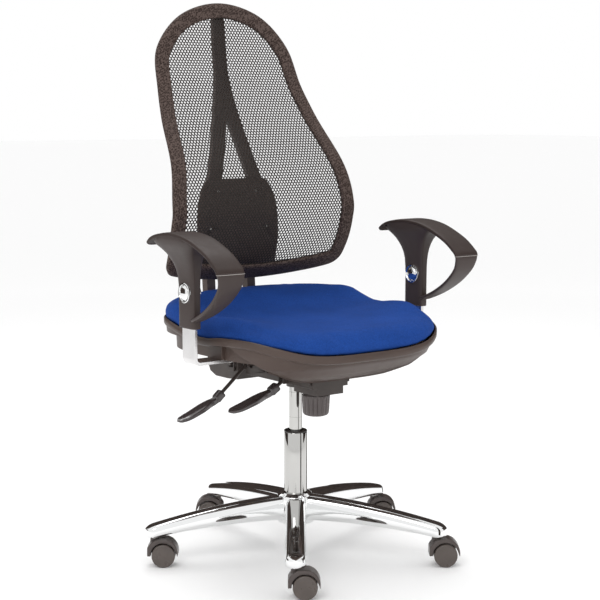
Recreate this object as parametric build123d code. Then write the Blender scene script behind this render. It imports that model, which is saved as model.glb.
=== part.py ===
from build123d import *
import os
from math import copysign, cos, pi, radians, sin, tan

# Swivel office chair: five-arm base on twin-wheel casters, gas lift, synchro tilt mechanism,
# upholstered seat, height-adjustable arm rests and a tall mesh back on an A-shaped spine.
# Millimetres. The origin is on the floor under the column. The sitter faces -Y and +X is the
# sitter's left. Every height is measured from the floor with the gas lift almost fully out.

# ---- clearances -------------------------------------------------------------------------------
running = 0.05         # radial gap of a shaft in its bore
slide = 0.3            # gap each side of a flat slide
side_gap = 0.8         # gap beside a turning wheel

# ---- casters and base -------------------------------------------------------------------------
arm_count = 5
base_turn = 37.0       # angle of the first base arm from -Y, clockwise seen from above
base_radius = 315.0    # column to caster stem
arm_width = 40.0
wheel_radius = 25.0
arm_tip_bottom = 2 * wheel_radius + 14.0    # the casters stand under the arm tips
arm_tip_height = 21.0
hub_bottom = 70.0
hub_top = 135.0
hub_radius = 41.5
arm_root_bottom = 80.0
arm_root_top = 131.0
arm_wall = 3.5

caster_turns = (-37.0, -37.0, 143.0, -37.0, -37.0)    # heading of each trailing wheel pair from +X
caster_trail = 19.0
wheel_width = 15.5
wheel_axle_radius = 3.0
web_thickness = 15.0
hood_radius = wheel_radius + 6.0
hood_wall = 3.0
hood_width = 40.0
stem_radius = 5.5
stem_foot = wheel_radius + 5.0    # lowest point of the stem
stem_grip = 16.0       # stem length inside the base arm
stem_flange_radius = 9.0
stem_flange = 3.0

# ---- gas lift ---------------------------------------------------------------------------------
tube_radius = 25.0
tube_wall = 2.0
tube_bottom = 66.0
tube_top = 270.0
tube_end_plate = 3.0
bush_length = 68.0
bush_lip = 4.0
piston_radius = 5.0
bearing_radius = 17.0
bearing_height = 6.0
cylinder_radius = 14.0
cylinder_bottom = 178.0
lift_up = 15.0         # travel left above the modelled height
cylinder_top = 424.0
cylinder_taper = 50.0  # length of the tapered seat in the mechanism
cylinder_tip_radius = 12.5
pin_radius = 4.0
pin_top = 433.5
pin_length = 30.0

# ---- tilt mechanism ---------------------------------------------------------------------------
housing_half = 47.0    # half width outside
housing_front = -122.0
housing_rear = 120.0
housing_bottom = 384.0
housing_top = 428.0
housing_sheet = 3.0
housing_floor_end = 30.0
socket_radius = 20.0
socket_bottom = 370.0
axle_radius = 5.0
axle_height = 405.0
front_axle_y = -105.0
back_pivot_y = 45.0
axle_overhang = 12.0
knob_y = -72.0
knob_radius = 30.0
knob_bottom = 315.0
knob_top = 366.0
knob_ribs = 18
knob_rib_radius = 1.6
bolt_radius = 5.0
spring_radius = 13.0   # to the middle of the wire
spring_wire = 2.5
spring_turns = 4.0

# ---- levers, on the sitter's right ------------------------------------------------------------
lever_pivot_x = -56.0
lever_rod_radius = 4.0
lever_pin_radius = 3.0
lever_ear = 3.0
lever_ear_gap = 6.5    # half distance between the two ears of a lever
paddle_width = 25.0
paddle_thickness = 13.0
height_lever_y = -30.0
height_lever_z = 392.0
height_rod_end = (-83.0, 375.0)
height_tip = (-197.0, 341.0)
tilt_lever_y = 100.0
tilt_lever_z = 412.0
tilt_rod_end = (-135.0, 346.0)
tilt_tip = (-240.0, 305.0)

# ---- seat -------------------------------------------------------------------------------------
seat_half_width = 262.0
seat_half_depth = 247.0
seat_centre_y = -16.0
seat_power = 3.3       # power of the superellipse that rounds the corners
seam_front = 473.0     # height of the cushion's lower edge in front
seam_side = 508.0      # and beside the sitter
seam_rear = 526.0
cushion_front = 525.0
cushion_rear = 566.0
panel_bottom = 460.0
panel_thickness = 12.0
shell_wall = 3.0
shell_bottom = 403.0
shell_draw = 80.0      # how far the bottom of the shell is drawn in from its rim
shell_step = 22.0      # the rear half of the shell is set in by this much
rim_height = 14.0
carrier_half = 100.0
carrier_sheet = 4.0
carrier_front = -135.0
carrier_rear = 165.0
carrier_flange_gap = 3.0
screw_radius = 3.0
screw_head_radius = 6.0
screw_head = 4.0
screw_bite = 8.0       # how far a screw goes into the seat panel
link_y = 150.0         # pin between the seat carrier and the back bar
link_radius = 4.0
link_play = 2.5        # room round the link pin in the carrier's lugs

# ---- arm rests --------------------------------------------------------------------------------
arm_x = seat_half_width + 40.0    # middle of the posts and brackets
pad_shift = 7.0        # the pads stand this much further out
arm_y = -48.0
bracket_width = 45.0
bracket_bar = 7.0
bracket_bend = 14.0
bracket_inner = 150.0
bracket_top = 655.0
post_thickness = 21.0
post_width = 57.0
post_bottom = 528.0
post_top = 706.0
pad_width = 64.0
pad_thickness = 10.0
arm_rear = 62.0        # rear tip of the pad, along Y
arm_crest = 722.0
nose_y = -203.0
nose_z = 650.0
button_z = 600.0
button_radius = 16.0
bezel_radius = 21.0
bezel_height = 4.0
button_proud = 2.5
button_travel = 2.5

# ---- back -------------------------------------------------------------------------------------
back_half_width = 243.0
back_bottom = 590.0
back_top = 1200.0
lumbar_y = 104.0       # foremost line of the rim
rim_thickness = 15.0
rim_border = 33.0
mesh_thickness = 2.5
spine_thickness = 12.0
lumbar_thickness = 4.0
lumbar_half_width = 110.0
lumbar_top = 808.0
lumbar_bottom = 616.0
upright_lean = 4.0     # degrees from vertical
upright_x = 55.0
upright_y = 249.0      # the uprights' middle line at the height leg_bottom
prong_width = 14.0
prong_depth = 8.0
prong_top = 690.0
leg_width = 22.0
leg_depth = 20.0
leg_bottom = 525.0
bar_half_width = upright_x + 7.0
bar_bottom = 369.0
bar_top = 420.0
bar_front = 129.0
tongue_half = housing_half - 7.0

LOW = (Align.CENTER, Align.CENTER, Align.MIN)
FAR = 1500.0           # longer than anything it cuts


# ---- shared shapes ----------------------------------------------------------------------------
def block(x0, x1, y0, y1, z0, z1):
    """A box between two corners."""
    return Pos(x0, y0, z0) * Box(x1 - x0, y1 - y0, z1 - z0, align=(Align.MIN,) * 3)


def pillar(radius, z0, z1, at=(0.0, 0.0)):
    """An upright cylinder."""
    return Pos(at[0], at[1], z0) * Cylinder(radius, z1 - z0, align=LOW)


def rod(radius, start, end):
    """A cylinder between two points."""
    run = Vector(end) - Vector(start)
    return Plane(origin=start, z_dir=run) * Cylinder(radius, run.length, align=LOW)


def ring(outer, inner, z0, z1):
    """An upright tube on the column's axis."""
    return pillar(outer, z0, z1) - pillar(inner, z0, z1)


def polygon(points):
    return make_face(Polyline(*points, close=True))


def from_side(face, half_width=FAR):
    """Carry a face drawn in (y, z) out to both sides along X."""
    return extrude(Plane.YZ * face, half_width, both=True)


def from_front(face, half_depth=FAR):
    """Carry a face drawn in (x, z) out both ways along Y."""
    return extrude(Plane.XZ * face, half_depth, both=True)


def superellipse(half_width, half_depth, power=seat_power, count=40):
    """A rounded square: |x/a|^p + |y/b|^p = 1."""
    points = []
    for i in range(count):
        c = cos(2 * pi * i / count)
        s = sin(2 * pi * i / count)
        x = half_width * copysign(abs(c) ** (2 / power), c)
        y = half_depth * copysign(abs(s) ** (2 / power), s)
        points.append((x, y))
    return make_face(Spline(*points, periodic=True))


def mirrored(shape):
    return mirror(shape, about=Plane.YZ)


# ---- base -------------------------------------------------------------------------------------
def stem_places():
    """The middle of each caster stem, the first in front."""
    places = []
    for k in range(arm_count):
        turn = radians(base_turn + 360.0 / arm_count * k)
        places.append((-base_radius * sin(turn), -base_radius * cos(turn)))
    return places


def base_arm():
    """One pressed arm along +X: arched on top, hollow below, with a solid end for the stem."""
    tip = base_radius + arm_width / 2
    tip_top = arm_tip_bottom + arm_tip_height
    middle = base_radius / 2
    top_middle = (arm_root_top + tip_top) / 2 + 8
    bottom_middle = (arm_root_bottom + arm_tip_bottom) / 2 + 8
    upper = ThreePointArc((0, arm_root_top), (middle, top_middle), (tip, tip_top))
    lower = ThreePointArc((tip, arm_tip_bottom), (middle, bottom_middle), (0, arm_root_bottom))
    side = make_face(upper + Line((tip, tip_top), (tip, arm_tip_bottom)) + lower
                     + Line((0, arm_root_bottom), (0, arm_root_top)))
    arm = extrude(Plane.XZ * side, arm_width / 2, both=True)
    plan = block(0, base_radius, -FAR, FAR, 0, FAR) + pillar(arm_width / 2, 0, FAR, (base_radius, 0))
    arm = arm & plan
    solid_end = base_radius - arm_width / 2
    sunk = Pos(0, 0, -arm_wall) * extrude(Plane.XZ * side, arm_width / 2 - arm_wall, both=True)
    pocket = sunk & block(hub_radius, solid_end, -FAR, FAR, 0, FAR)
    return arm - pocket


def star_base():
    arm = base_arm()
    shape = pillar(hub_radius, hub_bottom, hub_top)
    for k, (x, y) in enumerate(stem_places()):
        heading = -90 - base_turn - 360.0 / arm_count * k
        shape += Rot(0, 0, heading) * arm
    for place in stem_places():
        shape -= pillar(stem_radius, 0, arm_tip_bottom + stem_grip, place)
    return shape - pillar(tube_radius, 0, FAR)


def caster_stems():
    stem = pillar(stem_radius, stem_foot, arm_tip_bottom + stem_grip)
    stem += pillar(stem_flange_radius, arm_tip_bottom - stem_flange, arm_tip_bottom)
    return [Pos(x, y, 0) * stem for x, y in stem_places()]


# ---- one caster: stem on the Z axis, wheels trailing along +X -----------------------------------
wheel_side = web_thickness / 2 + side_gap
fork_top = arm_tip_bottom - stem_flange - 1.0
wheel_place = (caster_trail, wheel_radius)


def across(shape):
    """Turn a shape made along Z to lie along Y, on the wheels' axis."""
    return Pos(wheel_place[0], 0, wheel_place[1]) * Rot(90, 0, 0) * shape


def caster_fork():
    """The web between the wheels, the hood over them and the boss round the stem."""
    web = across(Cylinder(wheel_radius - 4, web_thickness))
    boss = pillar(stem_radius + 2, wheel_radius - 3, fork_top)
    collar = pillar(stem_radius + 4, 2 * wheel_radius + 2, fork_top)
    hood = across(Cylinder(hood_radius, hood_width) - Cylinder(hood_radius - hood_wall, FAR))
    hood -= block(caster_trail - FAR, caster_trail + FAR, -FAR, FAR, -FAR, wheel_radius + 1)
    hood &= block(-FAR, caster_trail + hood_radius * 0.9, -FAR, FAR, 0, FAR)
    inside = across(Cylinder(hood_radius - hood_wall, hood_width))
    bridge = block(-stem_radius - 6.5, caster_trail + 12, -web_thickness / 2, web_thickness / 2,
                   wheel_radius, fork_top - 1)
    bridge &= inside + pillar(stem_radius + 3, 0, FAR)
    fork = web + hood + bridge + boss + collar
    fork -= pillar(stem_radius + running, stem_foot - 1, FAR)
    return fork - across(Cylinder(wheel_axle_radius, FAR))


def caster_axle():
    return across(Cylinder(wheel_axle_radius, 2 * (wheel_side + wheel_width - 4)))


def caster_wheel(side):
    """A wheel with a rounded tread and a plain outer face, bored for the axle from its inner face."""
    half = wheel_width
    profile = polygon([(0, 0), (wheel_radius - 2.5, 0), (wheel_radius - 0.6, 1.2), (wheel_radius, 4),
                       (wheel_radius, half - 5), (wheel_radius - 0.8, half - 2.6),
                       (wheel_radius - 2.8, half - 1), (wheel_radius - 5, half - 0.5), (0, half)])
    wheel = revolve(Plane.XZ * profile, Axis.Z)
    wheel -= Cylinder(wheel_radius - 5, 5, align=LOW) - Cylinder(7, 5, align=LOW)
    wheel -= Cylinder(wheel_axle_radius + running, half - 3.5, align=LOW)
    wheel = Pos(0, 0, wheel_side) * wheel
    if side == "left":
        wheel = Rot(180, 0, 0) * wheel
    return across(wheel)


def at_caster(shape, number):
    """Move a shape from the first caster's own frame to where caster number stands."""
    x, y = stem_places()[number - 1]
    return Pos(x, y, 0) * Rot(0, 0, caster_turns[number - 1]) * shape


# ---- gas lift ---------------------------------------------------------------------------------
def column_tube():
    tube = ring(tube_radius, tube_radius - tube_wall, tube_bottom, tube_top)
    plate = ring(tube_radius - tube_wall, piston_radius + 1, tube_bottom, tube_bottom + tube_end_plate)
    return tube + plate


def guide_bush():
    bore = cylinder_radius + running
    bush = ring(tube_radius - tube_wall, bore, tube_top - bush_length, tube_top)
    return bush + ring(tube_radius, bore, tube_top, tube_top + bush_lip)


def thrust_bearing():
    floor = tube_bottom + tube_end_plate
    return ring(bearing_radius, piston_radius + running, floor, floor + bearing_height)


def piston_rod():
    """The rod stands in the tube, and a shoulder on it rests on the bearing."""
    shoulder = tube_bottom + tube_end_plate + bearing_height
    rod_top = cylinder_bottom + lift_up + 25
    shape = pillar(piston_radius, tube_bottom - 8, rod_top)
    return shape + pillar(piston_radius + 4, shoulder, shoulder + 4)


def column_clip():
    return ring(piston_radius + 4, piston_radius, tube_bottom - 4, tube_bottom - 1)


def gas_cylinder():
    """Straight below, tapered where it sits in the mechanism, bored for the rod and the pin."""
    taper_start = cylinder_top - cylinder_taper
    shape = pillar(cylinder_radius, cylinder_bottom, taper_start)
    shape += Pos(0, 0, taper_start) * Cone(cylinder_radius, cylinder_tip_radius, cylinder_taper, align=LOW)
    shape -= pillar(piston_radius + running, 0, taper_start - 30)
    return shape - pillar(pin_radius + running, pin_top - pin_length - 8, FAR)


def release_pin():
    return pillar(pin_radius, pin_top - pin_length, pin_top)


# ---- tilt mechanism ---------------------------------------------------------------------------
def lever_ears(y, z):
    """Two ears on the housing's right side that hold one lever's pin."""
    ears = Part()
    for side in (-1, 1):
        inner = y + side * lever_ear_gap
        outer = inner + side * lever_ear
        ears += block(lever_pivot_x - 6, -housing_half, min(inner, outer), max(inner, outer), z - 6, z + 6)
    hole = rod(lever_pin_radius + running, (lever_pivot_x, y - 20, z), (lever_pivot_x, y + 20, z))
    return ears - hole


def mechanism_housing():
    """A pressed pan, open on top and at the back of its floor, with a socket for the gas lift."""
    pan = block(-housing_half, housing_half, housing_front, housing_rear, housing_bottom, housing_top)
    inner = housing_half - housing_sheet
    pan -= block(-inner, inner, housing_front + housing_sheet, FAR, housing_bottom + housing_sheet, FAR)
    pan -= block(-inner, inner, housing_floor_end, FAR, 0, FAR)
    pan += pillar(socket_radius, socket_bottom, housing_top - 1)
    nose = block(-35, 35, housing_front, knob_y + 32, knob_top + 2, housing_bottom)
    shape = pan + nose
    taper_start = cylinder_top - cylinder_taper
    shape -= pillar(cylinder_radius, 0, taper_start)
    shape -= Pos(0, 0, taper_start) * Cone(cylinder_radius, cylinder_tip_radius, cylinder_taper, align=LOW)
    shape -= pillar(cylinder_tip_radius, cylinder_top, FAR)
    for y in (front_axle_y, back_pivot_y):
        shape -= rod(axle_radius, (-FAR, y, axle_height), (FAR, y, axle_height))
    shape -= pillar(bolt_radius + running, 0, housing_bottom + housing_sheet + 1, (0, knob_y))
    for y, z in ((height_lever_y, height_lever_z), (tilt_lever_y, tilt_lever_z)):
        shape += lever_ears(y, z)
        shape -= block(-FAR, 0, y - 5, y + 5, max(z - 11, housing_bottom + housing_sheet), FAR)
    return shape


def pivot_axles():
    reach = housing_half + axle_overhang
    front = rod(axle_radius, (-reach, front_axle_y, axle_height), (reach, front_axle_y, axle_height))
    rear = rod(axle_radius, (-housing_half, back_pivot_y, axle_height), (housing_half, back_pivot_y, axle_height))
    return [front, rear]


spring_floor = housing_bottom + housing_sheet
spring_height = housing_top - 8 - spring_floor


def tilt_spring():
    """A compression spring round the bolt, standing on the housing's floor."""
    pitch = (spring_height - 2 * spring_wire) / spring_turns
    path = Helix(pitch, spring_height - 2 * spring_wire, spring_radius)
    coil = sweep((path ^ 0) * Circle(spring_wire), path=path)
    return Pos(0, knob_y, spring_floor + spring_wire) * coil


def tension_bolt():
    """The bolt hangs from a washer on the spring and carries the knob on its lower end."""
    top = spring_floor + spring_height
    bolt = pillar(bolt_radius, knob_top - 30, top + 4, (0, knob_y))
    return bolt + pillar(spring_radius + spring_wire, top, top + 4, (0, knob_y))


def tension_knob():
    """A ribbed knob, a little wider at the top, with a domed underside."""
    height = knob_top - knob_bottom
    knob = Cone(knob_radius - 3, knob_radius - 1, height - 6, align=LOW)
    knob = Pos(0, 0, 6) * knob
    dome_radius = ((knob_radius - 3) ** 2 + 6 ** 2) / 12
    dome = Pos(0, 0, dome_radius) * Sphere(dome_radius) & pillar(knob_radius - 3, 0, 6)
    knob += dome
    for i in range(knob_ribs):
        turn = 360.0 / knob_ribs * i
        rib = rod(knob_rib_radius, (knob_radius - 3, 0, 7), (knob_radius - 1, 0, height - 4))
        knob += Rot(0, 0, turn) * rib
    knob -= pillar(bolt_radius + running, height - 31, FAR)
    return Pos(0, knob_y, knob_bottom) * knob


# ---- levers -----------------------------------------------------------------------------------
def lever_rod(y, z, end):
    """A bent rod with a cross pin; it ends inside its paddle."""
    grip = (end[0] - 14, end[1] - 14 * (z - end[1]) / (lever_pivot_x - end[0]))
    shape = rod(lever_rod_radius, (lever_pivot_x, y, z), (grip[0], y, grip[1]))
    reach = lever_ear_gap + lever_ear
    shape += rod(lever_pin_radius, (lever_pivot_x, y - reach, z), (lever_pivot_x, y + reach, z))
    barrel = lever_ear_gap - slide
    return shape + rod(lever_rod_radius + 1, (lever_pivot_x, y - barrel, z), (lever_pivot_x, y + barrel, z))


def height_lever_rod():
    """Its inner finger reaches over the release pin."""
    y, z = height_lever_y, height_lever_z
    shape = lever_rod(y, z, height_rod_end)
    crank = polygon([(lever_pivot_x, z - 3), (-38, z - 1), (-30, z + 6), (-30, pin_top + 0.2),
                     (-4, pin_top + 0.2), (-4, pin_top + 4.5), (-36, pin_top + 4.5), (-36, z + 8),
                     (lever_pivot_x, z + 3)])
    shape += Pos(0, y, 0) * extrude(Plane.XZ * crank, 3, both=True)
    return shape + block(-12, 6, y - 3, 5, pin_top + 0.2, pin_top + 4.5)


def tilt_lever_rod():
    """Its short inner cam ends beside the back bar's tongue."""
    y, z = tilt_lever_y, tilt_lever_z
    cam = block(lever_pivot_x, -tongue_half - 1.5, y - 3, y + 3, z - 4, z + 4)
    return lever_rod(y, z, tilt_rod_end) + cam


def paddle(y, start, tip, rod_from):
    """A faceted grip: a socket on the rod, a waist, and a flat leaf with a rounded tip."""
    run = Vector(tip[0] - start[0], 0, tip[1] - start[1])
    length = run.length
    plane = Plane(origin=(start[0], y, start[1]), x_dir=run, z_dir=Vector(0, 1, 0).cross(run) * -1)
    half = paddle_width / 2
    thick = paddle_thickness / 2
    leaf = polygon([(-9, -7), (20, -7), (34, -half), (length - 16, -half), (length - 4, -half * 0.7),
                    (length, 0), (length - 4, half * 0.7), (length - 16, half), (34, half), (20, 7), (-9, 7)])
    edge = polygon([(-9, -6.5), (24, -thick), (length - 20, -thick + 2), (length, -1),
                    (length, 1), (length - 14, 3), (26, thick), (-9, 6.5)])
    shape = extrude(leaf, thick * 2, both=True) & extrude(Plane.XZ * edge, FAR, both=True)
    shape = plane * shape
    return shape - rod_from


# ---- seat -------------------------------------------------------------------------------------
def seam_curve():
    """Height of the cushion's lower edge along the chair, as an open curve in (y, z)."""
    front = seat_centre_y - seat_half_depth
    rear = seat_centre_y + seat_half_depth
    return [(front - 12, seam_front - 3), (front + 8, seam_front + 6), (front + 45, seam_side - 12),
            (front + 95, seam_side), (front + 165, seam_side), (seat_centre_y, seam_side - 6),
            (rear - 120, (seam_side + seam_rear) / 2 - 6), (rear + 12, seam_rear)]


def below_seam(shift=0.0):
    """Everything under the seam curve, moved by shift."""
    points = [(y, z + shift) for y, z in seam_curve()]
    first = points[0]
    last = points[-1]
    edge = Spline(*points)
    outline = edge + Polyline(last, (last[0], 0), (first[0], 0), first)
    return from_side(make_face(outline), FAR)


def seat_outline(inset):
    return Pos(0, seat_centre_y, 0) * superellipse(seat_half_width - inset, seat_half_depth - inset)


def prism(inset, z0, z1):
    """The seat's outline, set in by inset, between two heights."""
    return extrude(Pos(0, 0, z0) * seat_outline(inset), z1 - z0)


def chin(inset):
    """The deep front of the shell: a rounded pan cut off by a plane that rises to the rear."""
    levels = [(0, 0.0), (15, 0.42), (38, 0.78), (65, 0.96), (seam_rear - shell_bottom, 1.0)]
    rings = []
    for rise, share in levels:
        narrow = shell_draw * (1 - share) + inset
        rings.append(Pos(0, 0, shell_bottom + inset + rise) * seat_outline(narrow))
    pan = loft(rings)
    front = seat_centre_y - seat_half_depth
    wedge = polygon([(front - 20, 0), (front + 12 - inset, 0), (front + 12 - inset, shell_bottom),
                     (front + 42 - inset, shell_bottom + 26), (front + 92 - inset, shell_bottom + 60),
                     (front + 150 - inset, seam_side - 14), (front + 150 - inset, FAR), (front - 20, FAR)])
    return pan & from_side(wedge)


def seat_shell():
    """A thin cover: a narrow rim all round, a step in at the rear and a deep chin in front."""
    top = below_seam()
    rim_under = below_seam(-rim_height)
    rim_floor = below_seam(-rim_height + shell_wall)
    band_bottom = panel_bottom + 1
    rim = prism(0, shell_bottom, FAR) - rim_under
    rim_hollow = prism(shell_wall, shell_bottom, FAR) - rim_floor
    band = prism(shell_step, band_bottom, FAR)
    band_hollow = prism(shell_step + shell_wall, 0, FAR)
    front_hollow = chin(shell_wall)
    shape = (rim + band + chin(0)) & top
    return shape - rim_hollow - band_hollow - front_hollow


def seat_panel():
    """The stiff board that carries the foam; the carrier and the arm brackets bolt to it."""
    panel = prism(shell_step + shell_wall, panel_bottom, panel_bottom + panel_thickness)
    for x, y in bracket_screw_places() + carrier_screw_places():
        hole = pillar(screw_radius, 0, panel_bottom + screw_bite, (x, y))
        panel -= hole + mirrored(hole)
    return panel


def seat_cushion():
    """A plain body as tall as the raised edges of the upholstery."""
    front = seat_centre_y - seat_half_depth
    rear = seat_centre_y + seat_half_depth
    crown = Spline((front - 2, cushion_front - 22), (front + 30, cushion_front + 4),
                   (seat_centre_y - 90, cushion_front + 13), (seat_centre_y, cushion_front + 18),
                   (rear - 60, cushion_rear), (rear - 14, cushion_rear - 8), (rear + 2, cushion_rear - 30))
    under = from_side(make_face(crown + Polyline((rear + 2, cushion_rear - 30), (rear + 2, 0),
                                                 (front - 2, 0), (front - 2, cushion_front - 22))))
    body = prism(0, panel_bottom, FAR) - below_seam()
    plug = prism(shell_wall, panel_bottom, FAR) - below_seam(shell_wall - rim_height)
    inner = prism(shell_step + shell_wall, panel_bottom + panel_thickness, FAR)
    return (body + plug + inner) & under - seat_panel()


def seat_carrier():
    """The mechanism's top plate, with front flanges on the axle and rear lugs for the link pin."""
    top = panel_bottom
    plate = block(-carrier_half, carrier_half, carrier_front, carrier_rear, top - carrier_sheet, top)
    window = housing_half + carrier_flange_gap + carrier_sheet + 4
    plate -= block(-window, window, back_pivot_y - 25, housing_rear + 8, 0, FAR)
    flange_x = housing_half + carrier_flange_gap
    lug_x = bar_half_width + 2
    shape = plate
    for side in (-1, 1):
        near, far = sorted((side * flange_x, side * (flange_x + carrier_sheet)))
        shape += block(near, far, front_axle_y - 14, front_axle_y + 14, axle_height - 14, top - carrier_sheet)
        near, far = sorted((side * lug_x, side * (lug_x + carrier_sheet)))
        shape += block(near, far, link_y - 13, link_y + 13, axle_height - 16, top - carrier_sheet)
    shape -= rod(axle_radius + running, (-FAR, front_axle_y, axle_height), (FAR, front_axle_y, axle_height))
    for x, y in carrier_screw_places():
        hole = pillar(screw_radius, 0, FAR, (x, y))
        shape -= hole + mirrored(hole)
    gap = link_radius + link_play
    return shape - block(-FAR, FAR, link_y - gap - 3, link_y + gap, axle_height - gap, axle_height + gap)


def arm_bracket():
    """A flat bar bent to an L: one leg bolted under the seat panel, the other up in the arm post."""
    half = bracket_bar / 2
    centre = panel_bottom - half
    radius = bracket_bend - half
    corner = arm_x - radius
    line = Line((bracket_inner, centre), (corner, centre))
    line += RadiusArc((corner, centre), (arm_x, centre + radius), -radius)
    line += Line((arm_x, centre + radius), (arm_x, bracket_top))
    bar = extrude(Plane.XZ * trace(line, bracket_bar), bracket_width / 2, both=True)
    bar = Pos(0, arm_y, 0) * bar
    for x, y in bracket_screw_places():
        bar -= pillar(screw_radius, 0, panel_bottom + 1, (x, y))
    return bar


def bracket_screw_places():
    return [(bracket_inner + 15, arm_y), (bracket_inner + 55, arm_y)]


def carrier_screw_places():
    x = carrier_half - 15
    return [(x, carrier_front + 20), (x, carrier_rear - 15)]


def seat_screws():
    """Bolts up into the panel, through the brackets and through the carrier's corners."""
    solids = []
    for places, under in ((bracket_screw_places(), panel_bottom - bracket_bar),
                          (carrier_screw_places(), panel_bottom - carrier_sheet)):
        for x, y in places:
            screw = pillar(screw_radius, under, panel_bottom + screw_bite, (x, y))
            screw += pillar(screw_head_radius, under - screw_head, under, (x, y))
            solids.append(screw)
            solids.append(mirrored(screw))
    return solids


# ---- arm rest, made on the plane x = 0 and moved out ----------------------------------------------
def arm_curve_top():
    """The pad's middle line from its rear tip over the crest to the nose."""
    middle = arm_crest - pad_thickness / 2
    return Spline((arm_rear, middle - 20), (arm_rear - 38, middle - 6), (arm_y + 12, middle),
                  (arm_y - 50, middle - 9), (nose_y + 42, nose_z + 33), (nose_y, nose_z))


def arm_curve_lower():
    """The return's middle line from the nose back to the foot of the post."""
    return Spline((nose_y, nose_z), (nose_y + 10, nose_z - 30), (nose_y + 40, nose_z - 58),
                  (nose_y + 80, nose_z - 82), (arm_y - post_width / 2 + 4, nose_z - 96))


def arm_pad():
    return Pos(pad_shift, 0, 0) * from_side(trace(arm_curve_top(), pad_thickness), pad_width / 2)


def arm_frame():
    """The hollow post, its flare under the pad and the tapered return to the nose."""
    half = post_width / 2
    thick = post_thickness / 2
    post = block(-thick, thick, arm_y - half, arm_y + half, post_bottom, post_top)
    flare = polygon([(arm_y - half, post_top - 55), (arm_y + half, post_top - 55),
                     (arm_y + half + 45, post_top + 30), (arm_y - half - 45, post_top + 30)])
    flare = from_side(flare, thick)
    low = nose_z - 110
    taper = polygon([(-pad_width / 2, FAR), (-pad_width / 2, nose_z), (-thick - pad_shift, low),
                     (thick - pad_shift, low), (pad_width / 2, nose_z), (pad_width / 2, FAR)])
    taper = Pos(pad_shift, 0, 0) * from_front(taper)
    lower = Pos(pad_shift, 0, 0) * from_side(trace(arm_curve_lower(), pad_thickness), pad_width / 2) & taper
    pad = arm_pad()
    over_pad = from_side(trace(arm_curve_top(), pad_thickness), FAR)
    shape = (post + flare) - over_pad
    shape = keep_below(shape)
    shape = shape + (lower - pad)
    room_x = bracket_bar / 2 + slide
    room_y = bracket_width / 2 + slide
    shape -= block(-room_x, room_x, arm_y - room_y, arm_y + room_y, 0, bracket_top + 35)
    outer = Plane(origin=(thick + 1, arm_y, button_z), z_dir=(-1, 0, 0))
    return shape - outer * Cylinder(button_radius + running, 1 + thick - bracket_bar / 2 - slide - 2, align=LOW)


def keep_below(shape):
    """Of a shape split by the pad, keep the solid under it."""
    solids = shape.solids()
    return Part() + min(solids, key=lambda s: s.center().Z)


def arm_bezels():
    """A chrome ring round the button outside, and a domed chrome cap on the inner face."""
    thick = post_thickness / 2
    outer = Plane(origin=(thick, arm_y, button_z), z_dir=(1, 0, 0))
    inner = Plane(origin=(-thick, arm_y, button_z), z_dir=(-1, 0, 0))
    band = Cylinder(bezel_radius, bezel_height, align=LOW)
    hoop = outer * (band - Cylinder(button_radius + running, bezel_height, align=LOW))
    cap = inner * (band + Cylinder(button_radius, bezel_height + button_proud, align=LOW))
    return [hoop, cap]


def arm_button():
    thick = post_thickness / 2
    start = thick - 2.5 + button_travel
    end = thick + bezel_height + button_proud
    face = Plane(origin=(start, arm_y, button_z), z_dir=(1, 0, 0))
    button = Cylinder(button_radius, end - start, align=LOW)
    button = chamfer(button.edges().group_by(Axis.Z)[-1], 1.2)
    return face * button


def to_left(shape):
    return Pos(arm_x, 0, 0) * shape


# ---- back -------------------------------------------------------------------------------------
def back_line(shift=0.0):
    """Side view of the rim: forward at the lumbar, back at the shoulders, as (y, z) points."""
    height = back_top - back_bottom
    shape = [(102, -0.03), (88, 0.0), (46, 0.055), (22, 0.12), (4, 0.21), (0, 0.28), (24, 0.417),
             (100, 0.595), (153, 0.777), (180, 1.01)]
    return [(lumbar_y + y + shift, back_bottom + height * share) for y, share in shape]


def back_slab(front, rear):
    """A curved slab across the chair that follows the rim's side view."""
    near = back_line(front)
    far = back_line(rear)
    outline = Spline(*near) + Line(near[-1], far[-1]) + Spline(*reversed(far)) + Line(far[0], near[0])
    return from_side(make_face(outline))


def outline_curve(inset=0.0, count=48):
    """Front view of the back: narrow shoulders, wide at the lumbar, with soft lower corners."""
    height = back_top - back_bottom
    shares = [(0.0, 1.0), (0.43, 0.956), (0.72, 0.838), (0.80, 0.687), (0.895, 0.507), (0.985, 0.33),
              (1.0, 0.2), (0.985, 0.11), (0.945, 0.052), (0.80, 0.028), (0.4, 0.007)]
    right = [(back_half_width * x, back_bottom + height * z) for x, z in shares]
    left = [(-x, z) for x, z in reversed(right[1:])]
    curve = Spline(*right, (0, back_bottom), *left, periodic=True)
    if inset == 0:
        return curve
    points = []
    for i in range(count):
        at = curve.position_at(i / count)
        along = curve.tangent_at(i / count)
        points.append((at.X + inset * along.Y, at.Y - inset * along.X))
    return Spline(*points, periodic=True)


def back_outline(inset=0.0):
    return from_front(make_face(outline_curve(inset)))


def back_rim():
    band = back_outline() - back_outline(rim_border)
    return band & back_slab(-rim_thickness / 2, rim_thickness / 2)


def back_mesh():
    """The stretched net, held in the rim's inner edge."""
    return back_outline(rim_border) & back_slab(-mesh_thickness / 2, mesh_thickness / 2)


def spine_line(shift=0.0):
    """Side view of the spine's front face, as (y, z) points from the top down."""
    height = back_top - back_bottom
    return [(lumbar_y + 182 + shift, back_bottom + height * 0.985),
            (lumbar_y + 172 + shift, back_bottom + height * 0.76),
            (lumbar_y + 147 + shift, back_bottom + height * 0.55),
            (lumbar_y + 120 + shift, lumbar_top), (lumbar_y + 112 + shift, back_bottom + height * 0.18),
            (lumbar_y + 109 + shift, back_bottom + height * 0.03)]


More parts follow.
